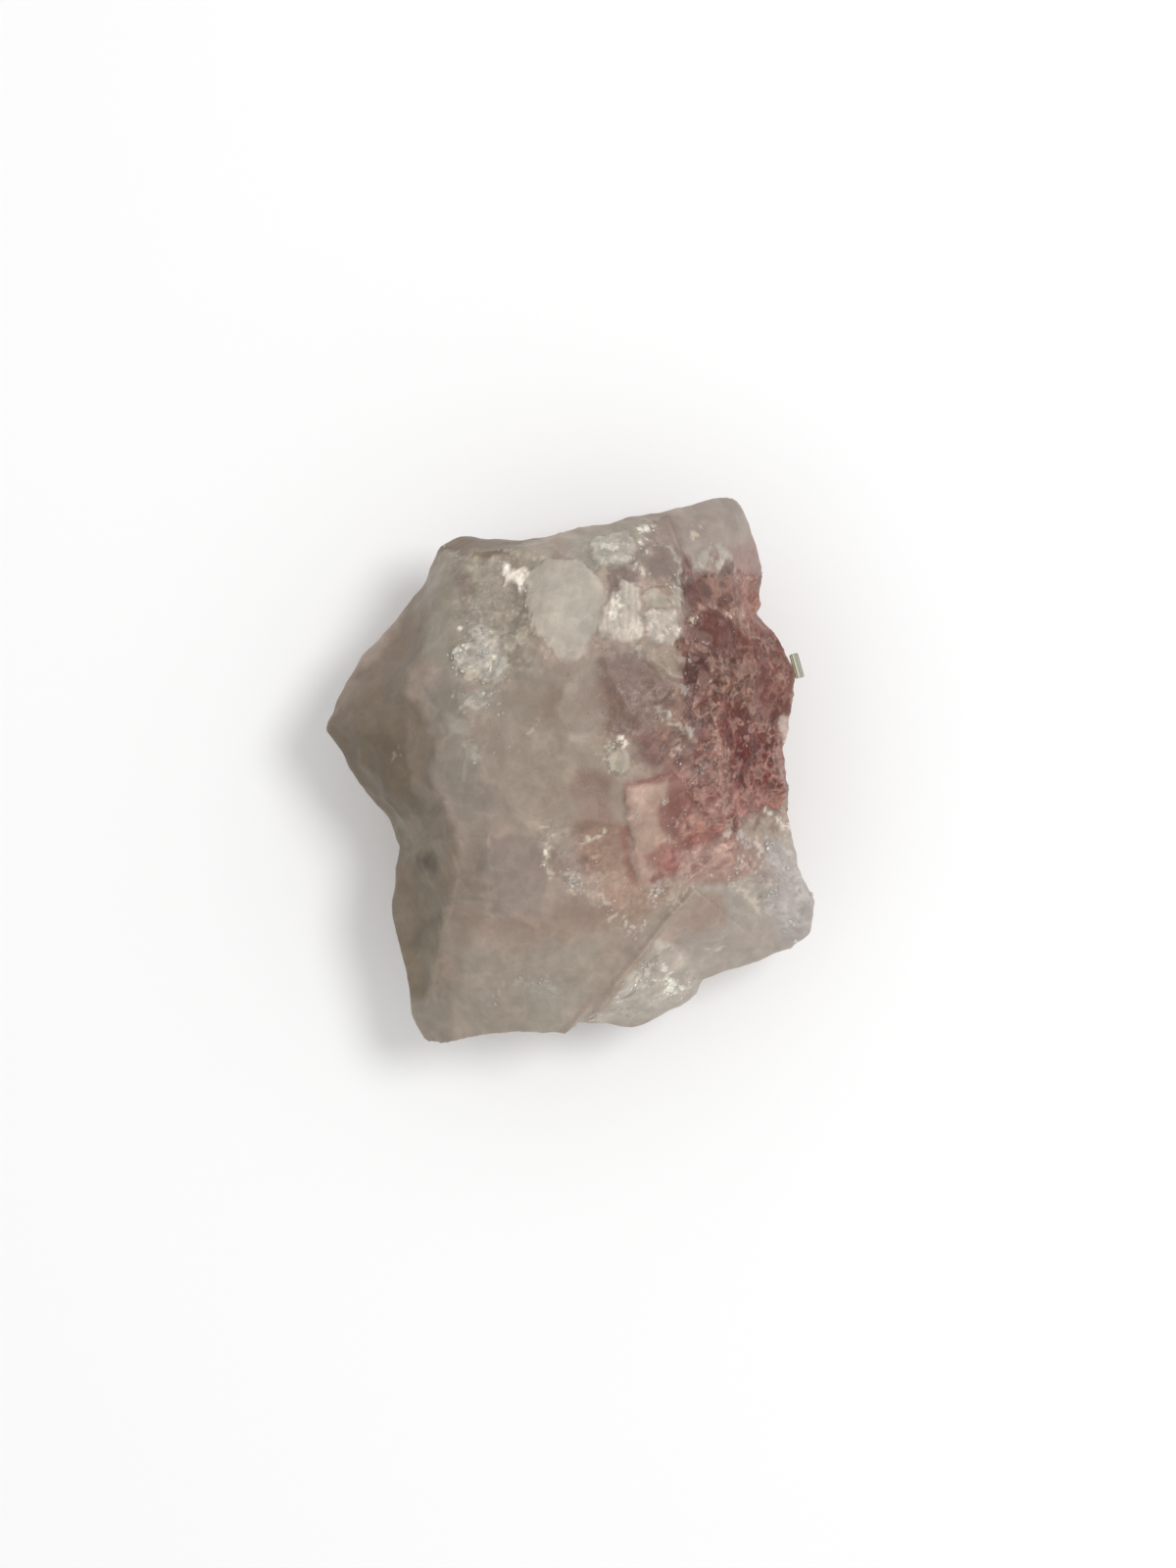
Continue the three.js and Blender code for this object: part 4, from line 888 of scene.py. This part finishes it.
class Ground:
    # what the stone is like at some places on its skin, for both of its parts

    def __init__(self, points):
        self.points = points
        self.high = ease(points[..., 2], 13, 15)
        self.bend = np.stack([clouds(points, 2.0, 51), clouds(points, 2.0, 57)], -1)
        ragged = points[..., :2] + 0.35 * np.stack([clouds(points, 1.2, 131), clouds(points, 1.2, 135)], -1)
        self.plates = {}
        for name, form in plates.items():
            inside = -outlineDistance(ragged, form["outline"])
            self.plates[name] = ease(inside, -form["soft"], form["soft"] + 0.1) * self.high
        # bowls in four sizes: their depths, their numbers and how far the next one lies over them
        self.cells = {name: scoops(points, *form) for name, form in rockFinish["bowls"].items()}
        self.edge = tourmalineEdge(points)
        # whole bowls belong to the tourmaline or do not; its colour strays further, one bowl here and there
        odds = self.chances("middling", 31) - 0.5
        self.red = ease(self.edge + 1.5 * odds, -0.15, 0.15)
        self.stained = ease(self.edge + 5 * odds + 1.2 * (self.chances("small", 33) - 0.5), -0.5, 0.5)
        self.broken = self.brokenShare()

    def chances(self, name, seed):
        return chance(self.cells[name][1], seed)

    def zone(self, soft, outline):
        # 1 inside an outline, with an edge that noise bends and that is as soft as told
        place = self.points[..., :2] + (0.2 + 0.5 * soft) * self.bend
        return 1 - ease(outlineDistance(place, outline), -soft, soft)

    def brokenShare(self):
        # 1 where the stone is broken small: in its outlines from above, in patches low on the sides, and
        # over the tourmaline but for its smooth patches
        low = 1 - ease(self.points[..., 2], 10, 13)
        share = 0.6 * ease(clouds(self.points, 7, 141), 0.0, 0.6) * low
        for strength, _, outline in brokenGround.values():
            share = np.maximum(share, strength * self.zone(1.1, outline) * (1 - low))
        share = share * (0.75 + 0.25 * ease(clouds(self.points, 2.2, 145), -0.4, 0.3))
        for name, form in plates.items():
            share += self.plates[name] * (form["broken"] - share)
        granular = 0.85 * ease(self.edge, -2.2, 0.6)
        for _, _, smooth, outline in redZones.values():
            granular = granular * (1 - 0.85 * smooth * self.zone(0.3, outline))
        return np.maximum(share * (1 - ease(self.edge, -0.6, 0.6)), granular)

    def relief(self):
        # how far facets, steps and plates stand on the skin: each size of bowls adds its depth there
        # times (bowl - level), and a plate adds share (lift + slope . (place - middle) - grooves)
        points = self.points
        crown, low = ease(points[..., 2], 14, 20), 1 - ease(points[..., 2], 9, 13)
        fine = ease(points[..., 2], 5, 10)  # the underside's columns are too few for the small bowls
        relief = rockFinish["swell"] * clouds(points, 1.8, 41) + stepRelief(points)
        for name, (plain, lowDown, onCrown, onBroken, level) in rockFinish["depths"].items():
            depth = plain + lowDown * low + onCrown * crown + onBroken * self.broken
            relief += (1 if name == "large" else fine) * depth * (self.cells[name][0] - level)
        drift = 0.25 * cloud(points, 1.5, 125)
        for name, form in plates.items():
            place = points[..., :2] - np.mean(form["outline"], axis=0)
            lift = form["lift"] + place @ np.array(form["slope"])
            if "grooves" in form:
                lift -= grooves(place + drift[..., None], *form["grooves"])
            relief += self.plates[name] * lift
        return relief * ease(points[..., 2], 0.1, 3)

    def tint(self):
        # the stains, painted shade and plates over the quartz's own colour, from above only, mottled and
        # with flakes, some of them painted glints, grainy beside the tourmaline, and the tourmaline's own
        # tint where its colour shows
        points = self.points
        tint = np.broadcast_to(np.array(rockFinish["colour"]), points.shape).copy()
        tint *= (1 + 0.08 * clouds(points, 9, 61))[..., None]
        upper = ease(points[..., 2], 7, 12)
        for colour, strength, soft, outline in zones.values():
            tint = mixed(tint, strength * self.zone(soft, outline) * upper, colour)
        for name, form in plates.items():
            if "colour" in form:
                tint = mixed(tint, 0.85 * self.plates[name], form["colour"])
        tint = self.flaked(tint * self.mottle())
        grain = np.zeros(points.shape[:-1])
        for _, strength, outline in brokenGround.values():
            if strength:
                grain = np.maximum(grain, 0.8 * strength * self.zone(1.1, outline) * upper)
        for share in self.plates.values():
            grain = grain * (1 - 0.7 * share)
        tint = self.grained(tint * np.array(rockFinish["warmth"]), grain)
        share = self.stained * (0.55 + 0.45 * ease(self.edge, -1.2, 0.6)) * ease(self.edge, -4.5, -1.5)
        return tint + share[..., None] * (self.redTint() - tint)

    def mottle(self):
        # factors on the tint: lighter and darker patches, pale wisps, rosier and greyer by turns, and on
        # broken ground bowls of different shades, some of them bright, with pale ridges between them,
        # partly pale quartz and partly a painted highlight along their crests
        points, broken, form = self.points, self.broken, rockFinish
        calm = 0.45 + 0.55 * broken
        shade = form["broadPatches"] * patches(points, 2.8, 81)
        shade += calm * form["patches"] * patches(points, 1.3, 85)
        shade += calm * form["finePatches"] * patches(points, 0.6, 89)
        shade += calm * form["wisps"] * ease(clouds(points, 1.7, 93, 4), 0.55, 0.75)
        large, middling, small = (self.chances(name, 71) for name in ("large", "middling", "small"))
        always, onBroken = form["bowlShades"]
        shade += (always + onBroken * broken) * (0.3 * large + 0.4 * middling + 0.3 * small - 0.5)
        middlingGain, smallGain = form["brightBowls"]
        shade += broken * (middlingGain * (middling > 0.88) + smallGain * (small > 0.88))
        # pale ridges, partly a painted highlight along the crests between bowls
        shade += form["ridges"] * broken * (1 - ease(self.cells["middling"][2], 0.01, 0.07))
        rosy = form["rosy"] * clouds(points, 3.4, 101)
        return np.stack([1 + shade + rosy, 1 + shade, 1 + shade], -1)

    def flaked(self, tint):
        # blots of the flakes' tints along their lines, more of them the closer the flakes lie: noise, plus
        # how much of their strip the flakes cover, less the distance from the line
        blots = clouds(self.points, 0.42, 151, 2)
        top = ease(self.points[..., 2], 12, 14)
        for colour, width, count, (least, most), line in flakes.values():
            distance = np.abs(lineDistance(self.points, line)[0])
            length = sum(math.dist(a, b) for a, b in zip(line, line[1:]))
            cover = count * (0.65 * least + 0.35 * most) ** 2 / (2 * width * length + 3 * width ** 2)
            share = blots + 0.6 * min(1.2, cover) - 0.3 - 0.6 * distance / (width + 0.15)
            tint = mixed(tint, 0.8 * ease(share, 0, 0.5) * top, colour)
        return tint

    def redTint(self):
        # the tourmaline's stains over its own colour, browner by turns, and grainy but where it is smooth
        points = self.points
        tint = np.broadcast_to(np.array(massFinish["colour"]), points.shape).copy()
        smooth = np.zeros(points.shape[:-1])
        for colour, soft, flat, outline in redZones.values():
            share = self.zone(soft, outline)
            tint = mixed(tint, 0.9 * share, colour)
            smooth += share * (flat - smooth)
        brown = 0.1 * clouds(points, 2.2, 161)
        tint = tint * np.stack([1 + 0 * brown, 1 + brown, 1 + brown], -1)
        return self.grained(tint, 1 - 0.8 * smooth)

    def grained(self, tint, share):
        # each bowl has its own shade, pale films follow the ridges between bowls here and there, partly
        # pale quartz and partly a painted highlight along the edges, and some small bowls are pale flecks
        form = massFinish
        shade = sum(gain * self.chances(name, 11) for gain, name in zip(form["shades"], self.cells))
        tint = tint * (1 + (share * (shade - form["level"]))[..., None] * form["hues"])
        stray = clouds(self.points, 0.8, 175)
        middlingWidth, smallWidth = form["filmWidths"]
        film = 1 - ease(self.cells["middling"][2] + 0.06 * stray, 0, middlingWidth)
        film = np.maximum(film, 0.8 * (1 - ease(self.cells["small"][2] - 0.05 * stray, 0, smallWidth)))
        film = 0.7 * film * ease(clouds(self.points, 1.3, 171), -0.2, 0.3)
        smallOdds, tinyOdds = form["flecks"]
        fleck = 0.5 * ((self.chances("small", 13) > smallOdds) | (self.chances("tiny", 14) > tinyOdds))
        pale = (share * np.maximum(film, fleck))[..., None]
        return tint + pale * (0.8 * np.array(form["film"]) - 0.3 * tint)


def buildRock():
    # the stone: its ground stands on the skin along the normals, and drops under the tourmaline
    ways = rockWays()
    points = stoneSkin(ways, 1.2)
    ground = Ground(points)
    relief = ground.relief() - rockFinish["sunk"] * ease(ground.edge, 1.1, 2.2)
    tint = ground.tint()
    points = points + gridNormals(points) * relief[..., None]
    points[..., 2] = np.maximum(points[..., 2], 0)
    normals = gridNormals(points)
    matte = 0.55 + 0.15 * clouds(points, 2.5, 99) - 0.3 * ground.broken * ground.chances("middling", 75)
    layers = {"tint": closeBall(tint), "matte": closeBall(matte), "broken": closeBall(ground.broken)}
    faces = ballFaces(*ways.shape[:2])
    rock = makeMesh("quartzRock", closeBall(points), faces, layers)
    return rock, points, normals, ground, tint


rock, rockPoints, rockNormals, rockGround, rockTint = buildRock()
settle(rock, "quartz")


def shardKinds(kinds, corners, seed):
    # some angular bodies: the hull of corners spread evenly over a ball, no two as far out
    k = np.arange(corners)
    rise = 1 - (2 * k + 1) / corners
    turn = math.pi * (3 - math.sqrt(5)) * k
    level = np.sqrt(1 - rise ** 2)
    ball = np.stack([level * np.cos(turn), level * np.sin(turn), rise], -1)
    bodies = []
    for kind in range(kinds):
        form = bmesh.new()
        for corner in ball * (0.62 + 0.55 * chance(k, seed + kind))[:, None]:
            form.verts.new(corner)
        bmesh.ops.convex_hull(form, input=form.verts)
        for loose in [v for v in form.verts if not v.link_faces]:
            form.verts.remove(loose)
        form.verts.index_update()
        bmesh.ops.recalc_face_normals(form, faces=form.faces)
        bodies.append((np.array([v.co for v in form.verts]),
                       np.array([[v.index for v in face.verts] for face in form.faces])))
        form.free()
    return bodies


def leaned(ups, lean, draws):
    # for each seat a frame whose third axis is the skin's normal, leaned by chance, turned by chance
    up = ups + lean * draws.normal(0, 1, ups.shape)
    up = up / np.linalg.norm(up, axis=1)[:, None]
    side = np.cross(up, draws.normal(0, 1, ups.shape))
    side = side / np.linalg.norm(side, axis=1)[:, None]
    return np.stack([side, np.cross(up, side), up], -1)


def strewn(name, form, parts, draws):
    # one mesh of angular bodies; each part holds the seats of some of them, the skin's normals there,
    # their sizes, their tints and what share of its size each is sunk in by
    seats, ups, sizes, hues, sunk = (np.concatenate(part) for part in zip(*parts))
    seats = seats - ups * (sunk * sizes)[:, None]
    seats[:, 2] = np.maximum(seats[:, 2], 0.75 * sizes)
    narrowest, flatness = form["stretch"]
    stretch = 0.5 * (narrowest + 0.6 * draws.random((len(seats), 3))) * (1, 1, flatness)
    lowest, spread = form["matte"]
    layers = {"tint": hues, "matte": lowest + spread * draws.random(len(seats)),
              "broken": np.full(len(seats), form["broken"])}
    frames = leaned(ups, form["lean"], draws)
    bodies = shardKinds(form["kinds"], form["corners"], form["shapes"])
    kind = draws.integers(len(bodies), size=len(seats))
    vertices, faces, order, start = [], [], [], 0
    for which, (corners, triangles) in enumerate(bodies):
        mine = np.flatnonzero(kind == which)
        shaped = corners[None] * stretch[mine, None, :] * sizes[mine, None, None]
        placed = np.einsum("nij,nkj->nki", frames[mine], shaped) + seats[mine, None, :]
        offsets = start + np.arange(len(mine))[:, None, None] * len(corners)
        vertices.append(placed.reshape(-1, 3))
        faces += (offsets + triangles[None]).reshape(-1, 3).tolist()
        order.append(np.repeat(mine, len(corners)))
        start += len(mine) * len(corners)
    order = np.concatenate(order)
    layers = {layer: values[order] for layer, values in layers.items()}
    return makeMesh(name, np.concatenate(vertices), faces, layers, smooth=False)


def surfaceArea(points):
    # how much skin each grid point stands for
    across = np.roll(points, -1, axis=1) - points
    along = np.gradient(points, axis=0)
    return np.linalg.norm(np.cross(across, along), axis=-1)


sugarFinish = {
    "kinds": 14, "corners": 13, "shapes": 500, "lean": 0.2, "draws": 11,
    "stretch": (0.7, 0.6),  # how wide the narrowest are, and how flat all are
    "flakeSize": 0.95, "flakeShare": 0.5, "flakeGain": 1.15,
    "rubble": (120, 0.8, 2.0), "crumbs": (420, 0.3, 0.7),  # how many, and their sizes
    "flakeSunk": 0.2, "rubbleSunk": 0.3,                   # as shares of their sizes
    "matte": (0.15, 0.5), "broken": 0.2,
}


def buildSugar():
    # flakes along their lines, and more broken crystals in patches low on the sides and underneath
    form = sugarFinish
    draws = np.random.default_rng(form["draws"])
    flat, normals = rockPoints.reshape(-1, 3), rockNormals.reshape(-1, 3)
    colours, area = rockTint.reshape(-1, 3), surfaceArea(rockPoints).ravel()
    parts = []
    for colour, width, count, (least, most), line in flakes.values():
        distance = np.abs(lineDistance(flat, line)[0])
        weight = area * np.exp(-0.5 * (distance / (0.6 * width + 0.15)) ** 2) * (flat[:, 2] > 11)
        weight *= normals[:, 2] > 0.05
        count = math.ceil(form["flakeShare"] * count)
        picked = draws.choice(len(flat), count, p=weight / weight.sum())
        seats = flat[picked] + draws.normal(0, 0.1, (count, 3)) * (1, 1, 0)
        sizes = form["flakeSize"] * (least + (most - least) * draws.random(count) ** 1.6)
        shade = (0.8 + 0.3 * draws.random(count))[:, None]
        under = 0.35 * draws.random(count)[:, None]
        own = form["flakeGain"] * np.array(tints[colour]) * shade
        hues = own * (1 - under) + under * colours[picked]
        parts.append((seats, normals[picked], sizes, hues, np.full(count, form["flakeSunk"])))
    quartz = 1 - ease(rockGround.edge.ravel(), -1, 0)
    weight = area * rockGround.broken.ravel() * quartz * ease(flat[:, 2], 0.8, 2)
    for name in ("rubble", "crumbs"):
        count, least, most = form[name]
        picked = draws.choice(len(flat), count, p=weight / weight.sum())
        sizes = least + (most - least) * draws.random(count) ** 2
        hues = colours[picked] * (0.86 + 0.3 * draws.random(count))[:, None]
        parts.append((flat[picked], normals[picked], sizes, hues, np.full(count, form["rubbleSunk"])))
    return strewn("quartzSugar", form, parts, draws)


sugar = buildSugar()
settle(sugar, "quartz")


def massWays(turn, tilt):
    # directions by an angle round the Y axis and an angle towards +Y
    return np.stack([
        np.cos(tilt) * np.cos(turn), np.sin(tilt) + 0 * turn, np.cos(tilt) * np.sin(turn),
    ], -1)


def buildMass():
    # a lens: the outer sheet runs over the columns and the inner sheet runs back under it along the ways
    # from the heart; the outer sheet keeps to the ground, a little over it where the tourmaline shows
    form = massFinish
    first, last = np.radians(form["turn"])
    turn = np.concatenate([
        np.linspace(first, last, form["outer"], endpoint=False),
        np.linspace(last, first, form["inner"], endpoint=False),
    ])
    tilt = np.radians(np.linspace(form["tilt"][1], form["tilt"][0], form["rows"] + 2)[1:-1, None])
    ways = massWays(turn, tilt)
    skin = stoneSkin(ways, 2.4)
    ground = Ground(skin)
    outward = np.arange(len(turn)) < form["outer"]
    s, t = np.linspace(0, 1, form["outer"]), np.linspace(0, 1, form["rows"])[:, None]
    fade = np.zeros((form["rows"], len(turn)))
    fade[:, outward] = ease(np.minimum(s, 1 - s), 0, 0.08) * ease(np.minimum(t, 1 - t), 0, 0.08)
    deep = form["thickness"] * (0.75 + 0.25 * np.where(outward, 0, ease(np.minimum(t, 1 - t), 0, 0.2)))
    relief = ground.relief() + form["tiny"] * ground.red * ground.broken * ground.cells["tiny"][0]
    relief = relief + form["under"] + (form["over"] - form["under"]) * ground.red
    relief = relief - form["away"] * ease(-ground.edge, 1, 3)
    points = skin + gridNormals(skin) * (fade * relief)[..., None] - ways * ((1 - fade) * deep)[..., None]
    tint = ground.tint()
    matte = 0.35 + 0.5 * ground.chances("middling", 9)
    layers = {"tint": closeBall(tint), "matte": closeBall(matte),
              "broken": closeBall(ground.red * ground.broken)}
    faces = ballFaces(form["rows"], len(turn))
    piece = makeMesh("tourmalineMass", closeBall(points), faces, layers)
    normals = gridNormals(points)
    return piece, points[:, outward], normals[:, outward], ground.edge[:, outward], tint[:, outward]


mass, massPoints, massNormals, massEdge, massColours = buildMass()
settle(mass, "tourmaline")

grainFinish = {
    "kinds": 16, "corners": 12, "shapes": 700, "stretch": (0.65, 0.65), "lean": 0.3, "draws": 23,
    "sunk": 0.34,
    # how many, their sizes, and the share of them that is pale
    "large": (60, 0.9, 1.5, 0.05), "middling": (340, 0.5, 1.0, 0.2), "flecks": (900, 0.22, 0.5, 0.5),
    "strays": (120, 0.25, 0.55, 0.3), "strayReach": 1.3,
    # the sparkles are near-white grains set where glints show: painted glints
    "sparkles": [(16.8, 12.6), (16.8, 12.1), (14.8, 6.3), (21.6, 7.9), (17.3, 0)],
    "sparkleSize": 0.6, "sparkleColour": (0.9, 0.864, 0.756),
    "matte": (0.3, 0.5), "broken": 0.5,
}


def buildGrains():
    # grains over the whole mass, and strays that thin out over the quartz around it; each takes the shade
    # of its place and some are pale; last come a few sparkles, near-white grains that paint glints, each at
    # the grid point nearest its place
    form = grainFinish
    draws = np.random.default_rng(form["draws"])
    flat, normals = massPoints.reshape(-1, 3), massNormals.reshape(-1, 3)
    edge, colours = massEdge.ravel(), massColours.reshape(-1, 3)
    area = surfaceArea(massPoints).ravel()
    weight = area * (edge > 0.8)
    strayWeight = area * ease(edge, -form["strayReach"], 0.5) * (edge < 1)
    strayWeight = strayWeight * (flat[:, 2] > 8) * (normals[:, 2] > 0.3)
    parts = []
    for name in ("large", "middling", "flecks", "strays"):
        count, least, most, pale = form[name]
        share = strayWeight if name == "strays" else weight
        picked = draws.choice(len(flat), count, p=share / share.sum())
        seats = flat[picked] + normals[picked] * (0.2 * (edge[picked] < 0))[:, None]
        sizes = least + (most - least) * draws.random(count) ** 1.8
        tint = colours[picked] * (0.9 + 0.45 * draws.random(count))[:, None]
        hues = mixed(tint, 0.7 * (draws.random(count) < pale), "paleSalmon")
        parts.append((seats, normals[picked], sizes, hues, np.full(count, form["sunk"])))
    gaps = [np.hypot(*(flat[:, :2] - place).T) + 9 * (flat[:, 2] < 12) for place in form["sparkles"]]
    bright = np.array([gap.argmin() for gap in gaps])
    sizes, sunk = np.full(len(bright), form["sparkleSize"]), np.full(len(bright), form["sunk"])
    hues = np.tile(form["sparkleColour"], (len(bright), 1))
    parts.append((flat[bright], normals[bright], sizes, hues, sunk))
    return strewn("tourmalineGrains", form, parts, draws)


grains = buildGrains()
settle(grains, "tourmaline")


class Flow:
    # a node socket that can be added, subtracted and multiplied with numbers and other sockets
    def __init__(self, maker, socket):
        self.maker, self.socket = maker, socket

    def math(self, operation, first, second):
        return self.maker.add("ShaderNodeMath", {"operation": operation}, {0: first, 1: second})

    def __add__(self, other):
        return self.math("ADD", self, other)

    def __radd__(self, other):
        return self.math("ADD", other, self)

    def __sub__(self, other):
        return self.math("SUBTRACT", self, other)

    def __rsub__(self, other):
        return self.math("SUBTRACT", other, self)

    def __mul__(self, other):
        return self.math("MULTIPLY", self, other)

    def __rmul__(self, other):
        return self.math("MULTIPLY", other, self)


class Finish:
    # a material, its node tree and its shader
    def __init__(self, name, **shader):
        self.material = bpy.data.materials.new(name)
        self.material.use_nodes = True
        self.tree = self.material.node_tree
        self.shader = next(n for n in self.tree.nodes if n.type == "BSDF_PRINCIPLED")
        for socket, value in shader.items():
            self.shader.inputs[socket.replace("_", " ")].default_value = value

    def add(self, kind, settings=None, inputs=None, output=0):
        node = self.tree.nodes.new(kind)
        for key, value in (settings or {}).items():
            setattr(node, key, value)
        self.feed(node, inputs or {})
        return Flow(self, node.outputs[output])

    def feed(self, node, inputs):
        for key, value in inputs.items():
            if isinstance(value, Flow):
                self.tree.links.new(value.socket, node.inputs[key])
            else:
                node.inputs[key].default_value = value

    def noise(self, size, detail=2.0):
        # noise whose features are about this many millimetres wide
        place = self.add("ShaderNodeTexCoord", output=3)
        return self.add("ShaderNodeTexNoise", {}, {
            "Vector": place, "Scale": 1 / (size * millimetre), "Detail": detail})

    def vector(self, operation, first, second=(0, 0, 0)):
        return self.add("ShaderNodeVectorMath", {"operation": operation}, {0: first, 1: second})

    def scaled(self, vector, factor):
        return self.add("ShaderNodeVectorMath", {"operation": "SCALE"}, {0: vector, 3: factor})

    def cells(self, size, warp):
        # a random colour for each cell of a mosaic whose edges wander
        place = self.add("ShaderNodeTexCoord", output=3)
        drift = self.add("ShaderNodeTexNoise", {}, {
            "Vector": place, "Scale": 1 / (1.4 * size * millimetre), "Detail": 2.0}, 1)
        drift = self.scaled(self.vector("SUBTRACT", drift, (0.5, 0.5, 0.5)), warp * millimetre)
        return self.add("ShaderNodeTexVoronoi", {}, {
            "Vector": self.vector("ADD", place, drift), "Scale": 1 / (size * millimetre)}, 1)

    def clamped(self, value):
        return self.add("ShaderNodeMath", {"operation": "ADD", "use_clamp": True}, {0: value, 1: 0.0})

    def absolute(self, value):
        return self.add("ShaderNodeMath", {"operation": "ABSOLUTE"}, {0: value})

    def red(self, colour):
        return self.add("ShaderNodeSeparateColor", {}, {0: colour})

    def bumped(self, height, strength, depth, normal):
        bump = self.add("ShaderNodeBump", {}, {
            "Strength": strength, "Distance": depth * millimetre, "Height": height, "Normal": normal})
        self.feed(self.shader, {"Normal": bump})


def stoneFinish(name, grain, rough, mottle, mosaic, bump, **shader):
    # the piece's own tint, finely mottled and crossed by pale wisps, broken into small facets where its
    # broken layer says so: each has its own shade and faces its own way, and some are bright; roughness
    # comes from the matte layer
    finish = Finish(name, **shader)
    tint = finish.add("ShaderNodeAttribute", {"attribute_name": "tint"})
    matte = finish.add("ShaderNodeAttribute", {"attribute_name": "matte"}, output=2)
    broken = finish.add("ShaderNodeAttribute", {"attribute_name": "broken"}, output=2)
    fine, broad = finish.noise(grain, 3.0), finish.noise(grain * 6, 3.0)
    size, contrast, slant, wispy = mosaic
    large, small = finish.cells(size, 0.8 * size), finish.cells(0.45 * size, 0.4 * size)
    shades = 0.6 * finish.red(large) + 0.4 * finish.red(small)
    wisps = finish.clamped(1 - 14 * finish.absolute(finish.noise(grain * 14, 4.0) - 0.5))
    flecks = finish.clamped(12 * (finish.red(small) - 0.86)) * broken
    shade = 1 + mottle * (0.5 * fine + 0.5 * broad - 0.5) + contrast * broken * (shades - 0.5)
    shade = shade + wispy * wisps + 0.6 * contrast * flecks
    finish.feed(finish.shader, {"Base Color": finish.scaled(tint, shade), "Roughness": rough + 0.5 * matte})
    lean = finish.vector("ADD", large, small)
    lean = finish.scaled(finish.vector("SUBTRACT", lean, (1, 1, 1)), slant * broken)
    skin = finish.add("ShaderNodeNewGeometry", output=1)
    normal = finish.vector("NORMALIZE", finish.vector("ADD", skin, lean))
    finish.bumped(fine + 1.2 * broad, bump, grain * 0.4, normal)
    return finish.material


milky = {
    "IOR": 1.54, "Subsurface_Weight": 0.5, "Subsurface_Radius": (1, 0.85, 0.75), "Subsurface_Scale": 0.0012,
}
ruddy = {
    "IOR": 1.63, "Specular_IOR_Level": 0.3,
    "Subsurface_Weight": 0.35, "Subsurface_Radius": (1, 0.4, 0.35), "Subsurface_Scale": 0.001,
}
# a mosaic is the width of its facets, their contrast, how far they slant, and how strong the wisps are
looks = {
    "milkyQuartz": (rock, milky, {
        "grain": 0.2, "rough": 0.2, "mottle": 0.3, "mosaic": (0.8, 0.5, 0.22, 0.1), "bump": 0.5}),
    "glassyQuartz": (sugar, milky, {
        "grain": 0.2, "rough": 0.05, "mottle": 0.25, "mosaic": (0.5, 0.4, 0.2, 0.05), "bump": 0.15}),
    "tourmalineSkin": (mass, ruddy, {
        "grain": 0.15, "rough": 0.02, "mottle": 0.4, "mosaic": (0.5, 0.6, 0.28, 0), "bump": 0.3}),
    "pinkTourmaline": (grains, ruddy, {
        "grain": 0.15, "rough": 0.02, "mottle": 0.4, "mosaic": (0.4, 0.6, 0.3, 0), "bump": 0.15}),
}
for name, (piece, shader, form) in looks.items():
    piece.data.materials.append(stoneFinish(name, **form, **shader))


def buildPrism():
    # a small striated crystal: pale on the side turned to the left and dark on the right, painted light and
    # painted shade across its sides
    form = prismForm
    points, turn, along = prismSurface()
    ribs = 0.5 + 0.5 * np.cos(form["ribs"] * turn + 0.6) + 0 * along
    x, y = points[..., 0] - form["middle"][0], points[..., 1] - form["middle"][1]
    leftward = -(x + form["sideways"] * y)
    # painted shade and light: the tint darkens towards the right side and lightens towards the left
    shade = 0.25 + 0.75 * ease(leftward, -0.25, 0.3) * (0.6 + 0.4 * ribs)
    tint = np.array(form["dark"]) + shade[..., None] * np.array(form["light"])
    layers = {"tint": closeBall(tint), "matte": closeBall(form["matte"] + 0 * shade),
              "broken": closeBall(0 * shade)}
    return makeMesh("sidePrism", closeBall(points), ballFaces(form["rows"], form["steps"]), layers)


prism = buildPrism()
prism.data.materials.append(stoneFinish(
    "striatedPrism", grain=0.2, rough=0.1, mottle=0.2, mosaic=(0.4, 0, 0, 0), bump=0.1, IOR=1.62))
settle(prism, "side_prism")

studio = {
    "floor": 1.6, "floorColour": (0.93, 0.93, 0.93, 1),
    "camera": (1.7, -1.2, 390), "lens": 85,
    "key": {"place": (0.22, 0.1, 0.5), "size": 0.2, "power": 1.2},
    "fill": {"place": (-0.5, -0.35, 0.5), "size": 0.6, "power": 0.3},
    "sky": 0.72,
}


def buildStudio():
    # a plain pale floor, a soft key and fill that face the stone, an even sky, and the camera above it
    size = studio["floor"]
    corners = [(-size, -size, 0), (size, -size, 0), (size, size, 0), (-size, size, 0)]
    mesh = bpy.data.meshes.new("floor")
    mesh.from_pydata(corners, [], [(0, 1, 2, 3)])
    floor = bpy.data.objects.new("floor", mesh)
    bpy.context.collection.objects.link(floor)
    paper = Finish("palePaper", Base_Color=studio["floorColour"], Roughness=0.9)
    floor.data.materials.append(paper.material)
    for name in ("key", "fill"):
        form = studio[name]
        lamp = bpy.data.lights.new(name, "AREA")
        lamp.shape, lamp.size, lamp.energy = "DISK", form["size"], form["power"]
        light = bpy.data.objects.new(name, lamp)
        light.location = form["place"]
        x, y, z = form["place"]
        light.rotation_euler = (math.atan2(math.hypot(x, y), z), 0, math.atan2(-y, -x) - math.pi / 2)
        bpy.context.collection.objects.link(light)
    world = bpy.data.worlds.new("sky")
    world.use_nodes = True
    world.node_tree.nodes["Background"].inputs["Color"].default_value = (1, 1, 1, 1)
    world.node_tree.nodes["Background"].inputs["Strength"].default_value = studio["sky"]
    bpy.context.scene.world = world
    lens = bpy.data.cameras.new("camera")
    lens.lens, lens.sensor_width, lens.sensor_fit = studio["lens"], 36, "AUTO"
    camera = bpy.data.objects.new("camera", lens)
    camera.location = (np.array(studio["camera"]) + tableOrigin) * millimetre
    bpy.context.collection.objects.link(camera)
    bpy.context.scene.camera = camera
    bpy.context.scene.view_settings.view_transform = "Standard"


buildStudio()
print("studio ready,", round(time.time() - started, 1), "s")
